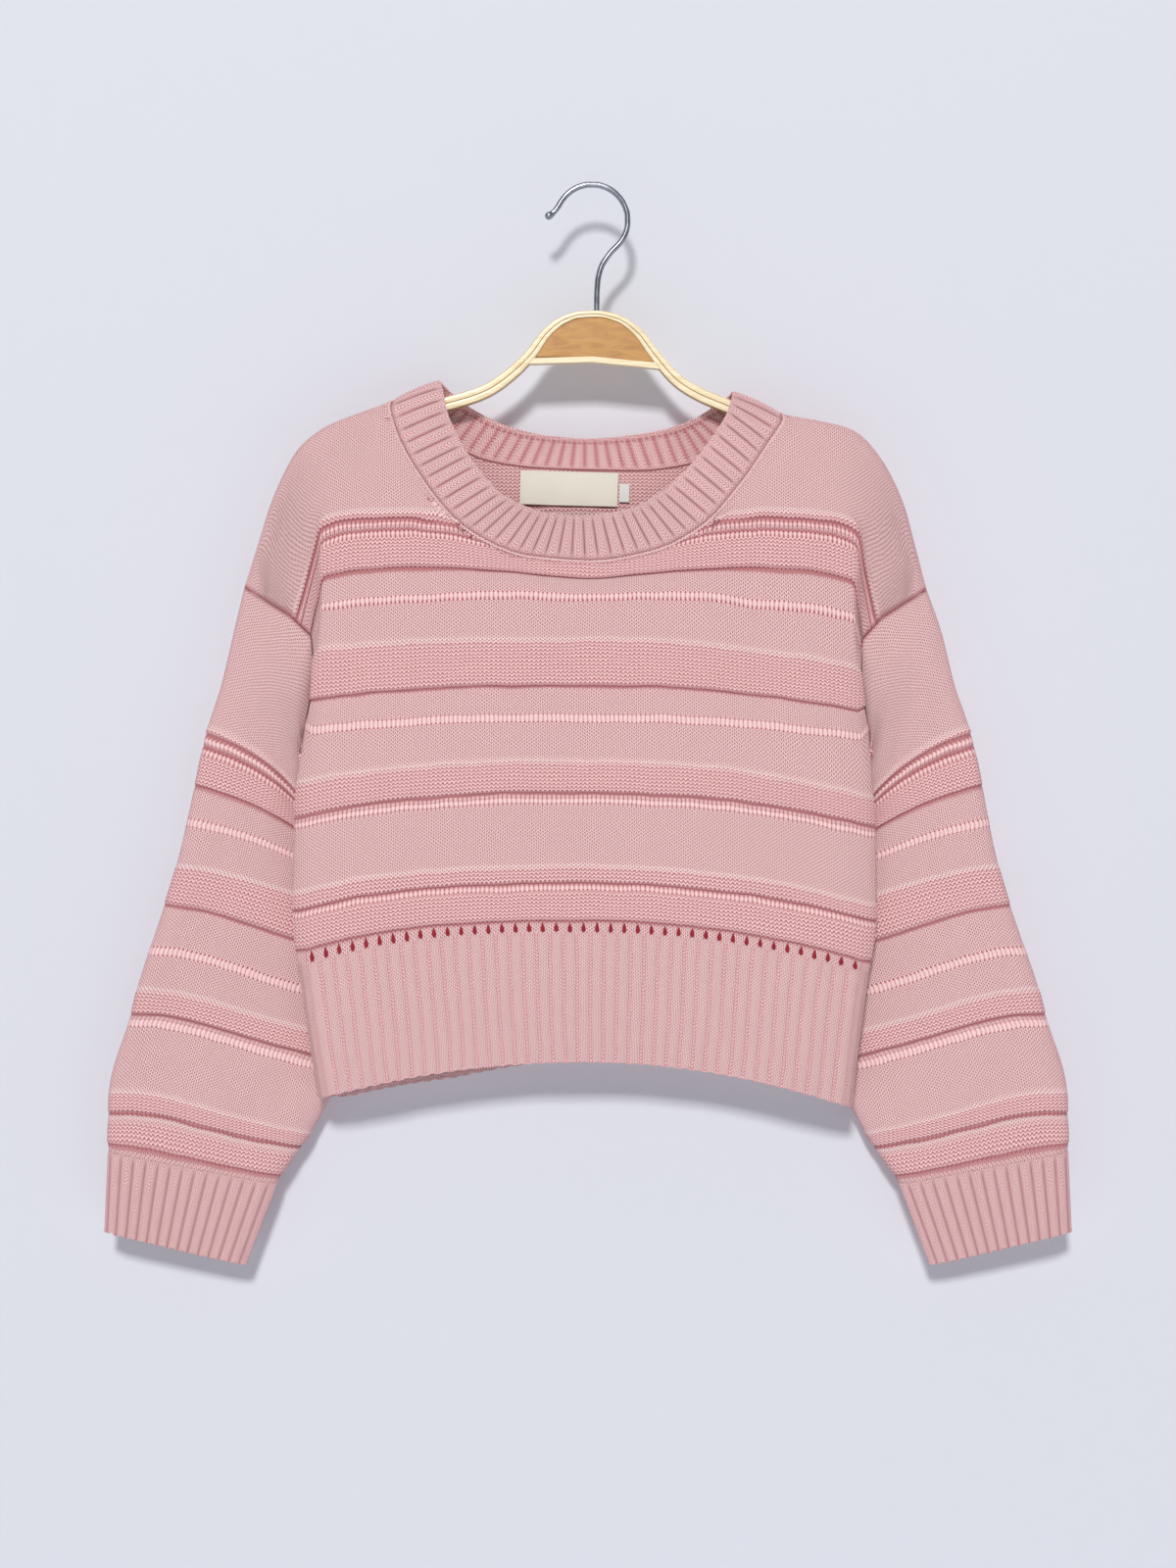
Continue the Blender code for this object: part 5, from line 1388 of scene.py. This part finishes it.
under = path + below * (lower_start + STRIP * lower_share - BOARD_OVERLAP)[:, None]
hump_part = under[(under[:, 0] > BOARD_ENDS[0]) & (under[:, 0] < BOARD_ENDS[1])]
bar_top = np.interp(hump_part[:, 0], *zip(*BAR_TOP))
hump_part = hump_part[hump_part[:, 1] > bar_top - BOARD_OVERLAP]
board = [tuple(p) for p in hump_part] + [(x, z - BOARD_OVERLAP) for x, z in BAR_TOP[::-1]
                                         if hump_part[0, 0] < x < hump_part[-1, 0]]
for name, outline, half, wood, slot in (
        ("hanger_bar", BAR_TOP + BAR_BOTTOM, BAR_HALF, bar_birch, "veneer"),
        ("hanger_infill", board, BOARD_HALF, honey, "plywood")):
    count = len(outline)
    verts = [(x * MM, y * MM, z * MM) for y in (-half, half) for x, z in outline]
    faces = [tuple(range(count))[::-1], tuple(range(count, 2 * count))]
    faces += [(c, (c + 1) % count, (c + 1) % count + count, c + count) for c in range(count)]
    flat_piece = new_object(name + "_wood", verts, faces)
    bpy.ops.object.mode_set(mode="EDIT")
    bpy.ops.mesh.select_all(action="SELECT")
    bpy.ops.mesh.normals_make_consistent(inside=False)
    bpy.ops.object.mode_set(mode="OBJECT")
    eased = flat_piece.modifiers.new("eased", "BEVEL")
    eased.width = 0.3 * MM
    eased.segments = 2
    bpy.ops.object.modifier_apply(modifier=eased.name)
    dress(flat_piece, wood, name)

# Hook -----------------------------------------------------------------------------------
# Bright plated steel wire, bent to a round hook with a blunt ball tip. Its stem goes down
# into the hanger's hump, where it can turn.

# Radii of the wire and the ball, and where the wire's full thickness ends at the tip
HOOK_WIRE = 2.0
BALL = 2.6
BALL_END = 6.0
HOOK_RADIUS = 24.4
HOOK_ARC = (146.0, -32.0)
HOOK_TIP = ((-31.8, -20.2), (-28.6, -18.9), (-24.6, -15.4))
HOOK_STEM = ((11.6, -45.6), (6.2, -54.5), (4.0, -64.0), (3.4, -75.0), (3.3, -84.2))

chrome, tree, shader = new_material("chrome_wire", {"Metallic": 1.0})
smudge = noise(tree, add_node(tree, "TexCoord").outputs["Object"], 160.0, 3.0)["Fac"]
plating = mix_colours(tree, smudge, (0.16, 0.18, 0.23, 1.0), (0.46, 0.49, 0.55, 1.0))
tree.links.new(plating, shader.inputs["Base Color"])
tree.links.new(calc(tree, "MULTIPLY_ADD", smudge, 0.2, 0.12), shader.inputs["Roughness"])

arc = np.radians(np.linspace(HOOK_ARC[0], HOOK_ARC[1], 15))
centre_z = HOOK_WIRE - HOOK_RADIUS
bend = np.stack([HOOK_RADIUS * np.cos(arc), centre_z + HOOK_RADIUS * np.sin(arc)], axis=1)
route = np.concatenate([HOOK_TIP, bend, HOOK_STEM])
walk = walked(route)
at = np.concatenate([np.linspace(0.0, 3.2, 9)[:-1], np.linspace(3.2, walk[-1], 120)])
wire = smooth_through(route, walk, at)
# The ball's round end, then its neck down to the wire
ball = np.sqrt(np.clip(1.0 - ((at - BALL) / BALL) ** 2, 0.0, 1.0)) * BALL
neck = HOOK_WIRE + (BALL - HOOK_WIRE) * np.cos((at - BALL) / (BALL_END - BALL) * math.pi / 2.0)
radius = np.where(at < BALL, ball, np.where(at < BALL_END, neck, HOOK_WIRE))
radius[0] = 0.05
tangent = unit(np.gradient(wire, axis=0))
turn = np.linspace(0.0, 2.0 * math.pi, 21)[:-1]
ring = np.stack([-tangent[:, 1], tangent[:, 0]], axis=1)
verts = np.empty((len(wire), len(turn), 3))
verts[:, :, 0] = wire[:, [0]] + ring[:, [0]] * radius[:, None] * np.cos(turn)
verts[:, :, 1] = radius[:, None] * np.sin(turn)
verts[:, :, 2] = wire[:, [1]] + ring[:, [1]] * radius[:, None] * np.cos(turn)
hook = new_object("hook_wire", (verts.reshape(-1, 3) * MM).tolist(),
                  tube_faces(len(wire), len(turn)))
bpy.ops.object.shade_smooth_by_angle(angle=HARD_SMOOTH)
dress(hook, chrome, "hook")

# Stage, light and camera ----------------------------------------------------------------
# A plain pale wall just behind and a pale floor, a bright square lamp high in front, a weak
# one behind, and soft light all round. The camera looks straight on, as in the photograph.

WALL_Y = 0.040
FLOOR_Z = -1.3
CAMERA_AT = (-0.0026, -1.61, -0.4046)
CAMERA_LENS = 54.5
SKY = (1.0, 0.96, 0.97, 1.0)
SKY_STRENGTH = 0.30
SKY_SEEN = 0.5

# Square lamps: name, watts, side in metres, colour, place, turn about x and z in degrees
LAMPS = (
    ("key", 425.0, 1.0, (1.0, 0.97, 0.92), (-0.6, -6.8, 3.25), 62.2, -5.0),
    ("back", 42.0, 0.8, (1.0, 1.0, 1.0), (0.8, 2.0, 0.8), -58.0, -22.0),
)


def pale_material(name, colour, one_sided):
    """Plain matt paint; if one-sided, it isn't there from behind, and lets lamplight by."""
    material, tree, shader = new_material(
        name, {"Base Color": colour, "Roughness": 0.95, "Specular IOR Level": 0.1})
    if one_sided:
        clear = add_node(tree, "BsdfTransparent").outputs["BSDF"]
        facing = add_node(tree, "NewGeometry").outputs["Backfacing"]
        ray = add_node(tree, "LightPath").outputs["Is Shadow Ray"]
        passes = calc(tree, "MAXIMUM", facing, ray)
        choose = add_node(tree, "MixShader", {"Fac": passes, 1: shader.outputs["BSDF"], 2: clear})
        tree.links.new(choose.outputs["Shader"], tree.nodes["Material Output"].inputs["Surface"])
    return material


def flat_stage(name, size, place, turn, material):
    """Large square plane of the stage."""
    bpy.ops.object.select_all(action="DESELECT")
    bpy.ops.mesh.primitive_plane_add(size=size, location=place, rotation=turn)
    made = bpy.context.object
    made.name = name
    made.data.materials.append(material)
    return made


def stand(name, data, place, turn):
    """Lamp or camera at a place in metres and a turn in radians."""
    made = bpy.data.objects.new(name, data)
    bpy.context.scene.collection.objects.link(made)
    made.location = place
    made.rotation_euler = turn
    return made


backdrop = flat_stage("backdrop", 8.0, (0.0, WALL_Y, -0.4), (math.radians(90), 0.0, 0.0),
                      pale_material("wall_paint", (0.64, 0.67, 0.745, 1.0), True))
floor = flat_stage("floor", 24.0, (0.0, 0.0, FLOOR_Z), (0.0, 0.0, 0.0),
                   pale_material("floor_paint", (0.80, 0.81, 0.84, 1.0), False))

bpy.context.scene.view_settings.view_transform = "Standard"
world = bpy.context.scene.world or bpy.data.worlds.new("studio")
bpy.context.scene.world = world
world.use_nodes = True
tree = world.node_tree
tree.nodes["Background"].inputs["Color"].default_value = SKY
seen = add_node(tree, "LightPath").outputs["Is Camera Ray"]
tree.links.new(calc(tree, "MULTIPLY_ADD", seen, SKY_SEEN, SKY_STRENGTH),
               tree.nodes["Background"].inputs["Strength"])

for name, watts, side, colour, place, turn_x, turn_z in LAMPS:
    light = bpy.data.lights.new(name, "AREA")
    light.energy, light.size, light.color = watts, side, colour
    stand(name, light, place, (math.radians(turn_x), 0.0, math.radians(turn_z)))

camera_data = bpy.data.cameras.new("camera")
camera_data.lens = CAMERA_LENS
bpy.context.scene.camera = stand("camera", camera_data, CAMERA_AT, (math.pi / 2.0, 0.0, 0.0))
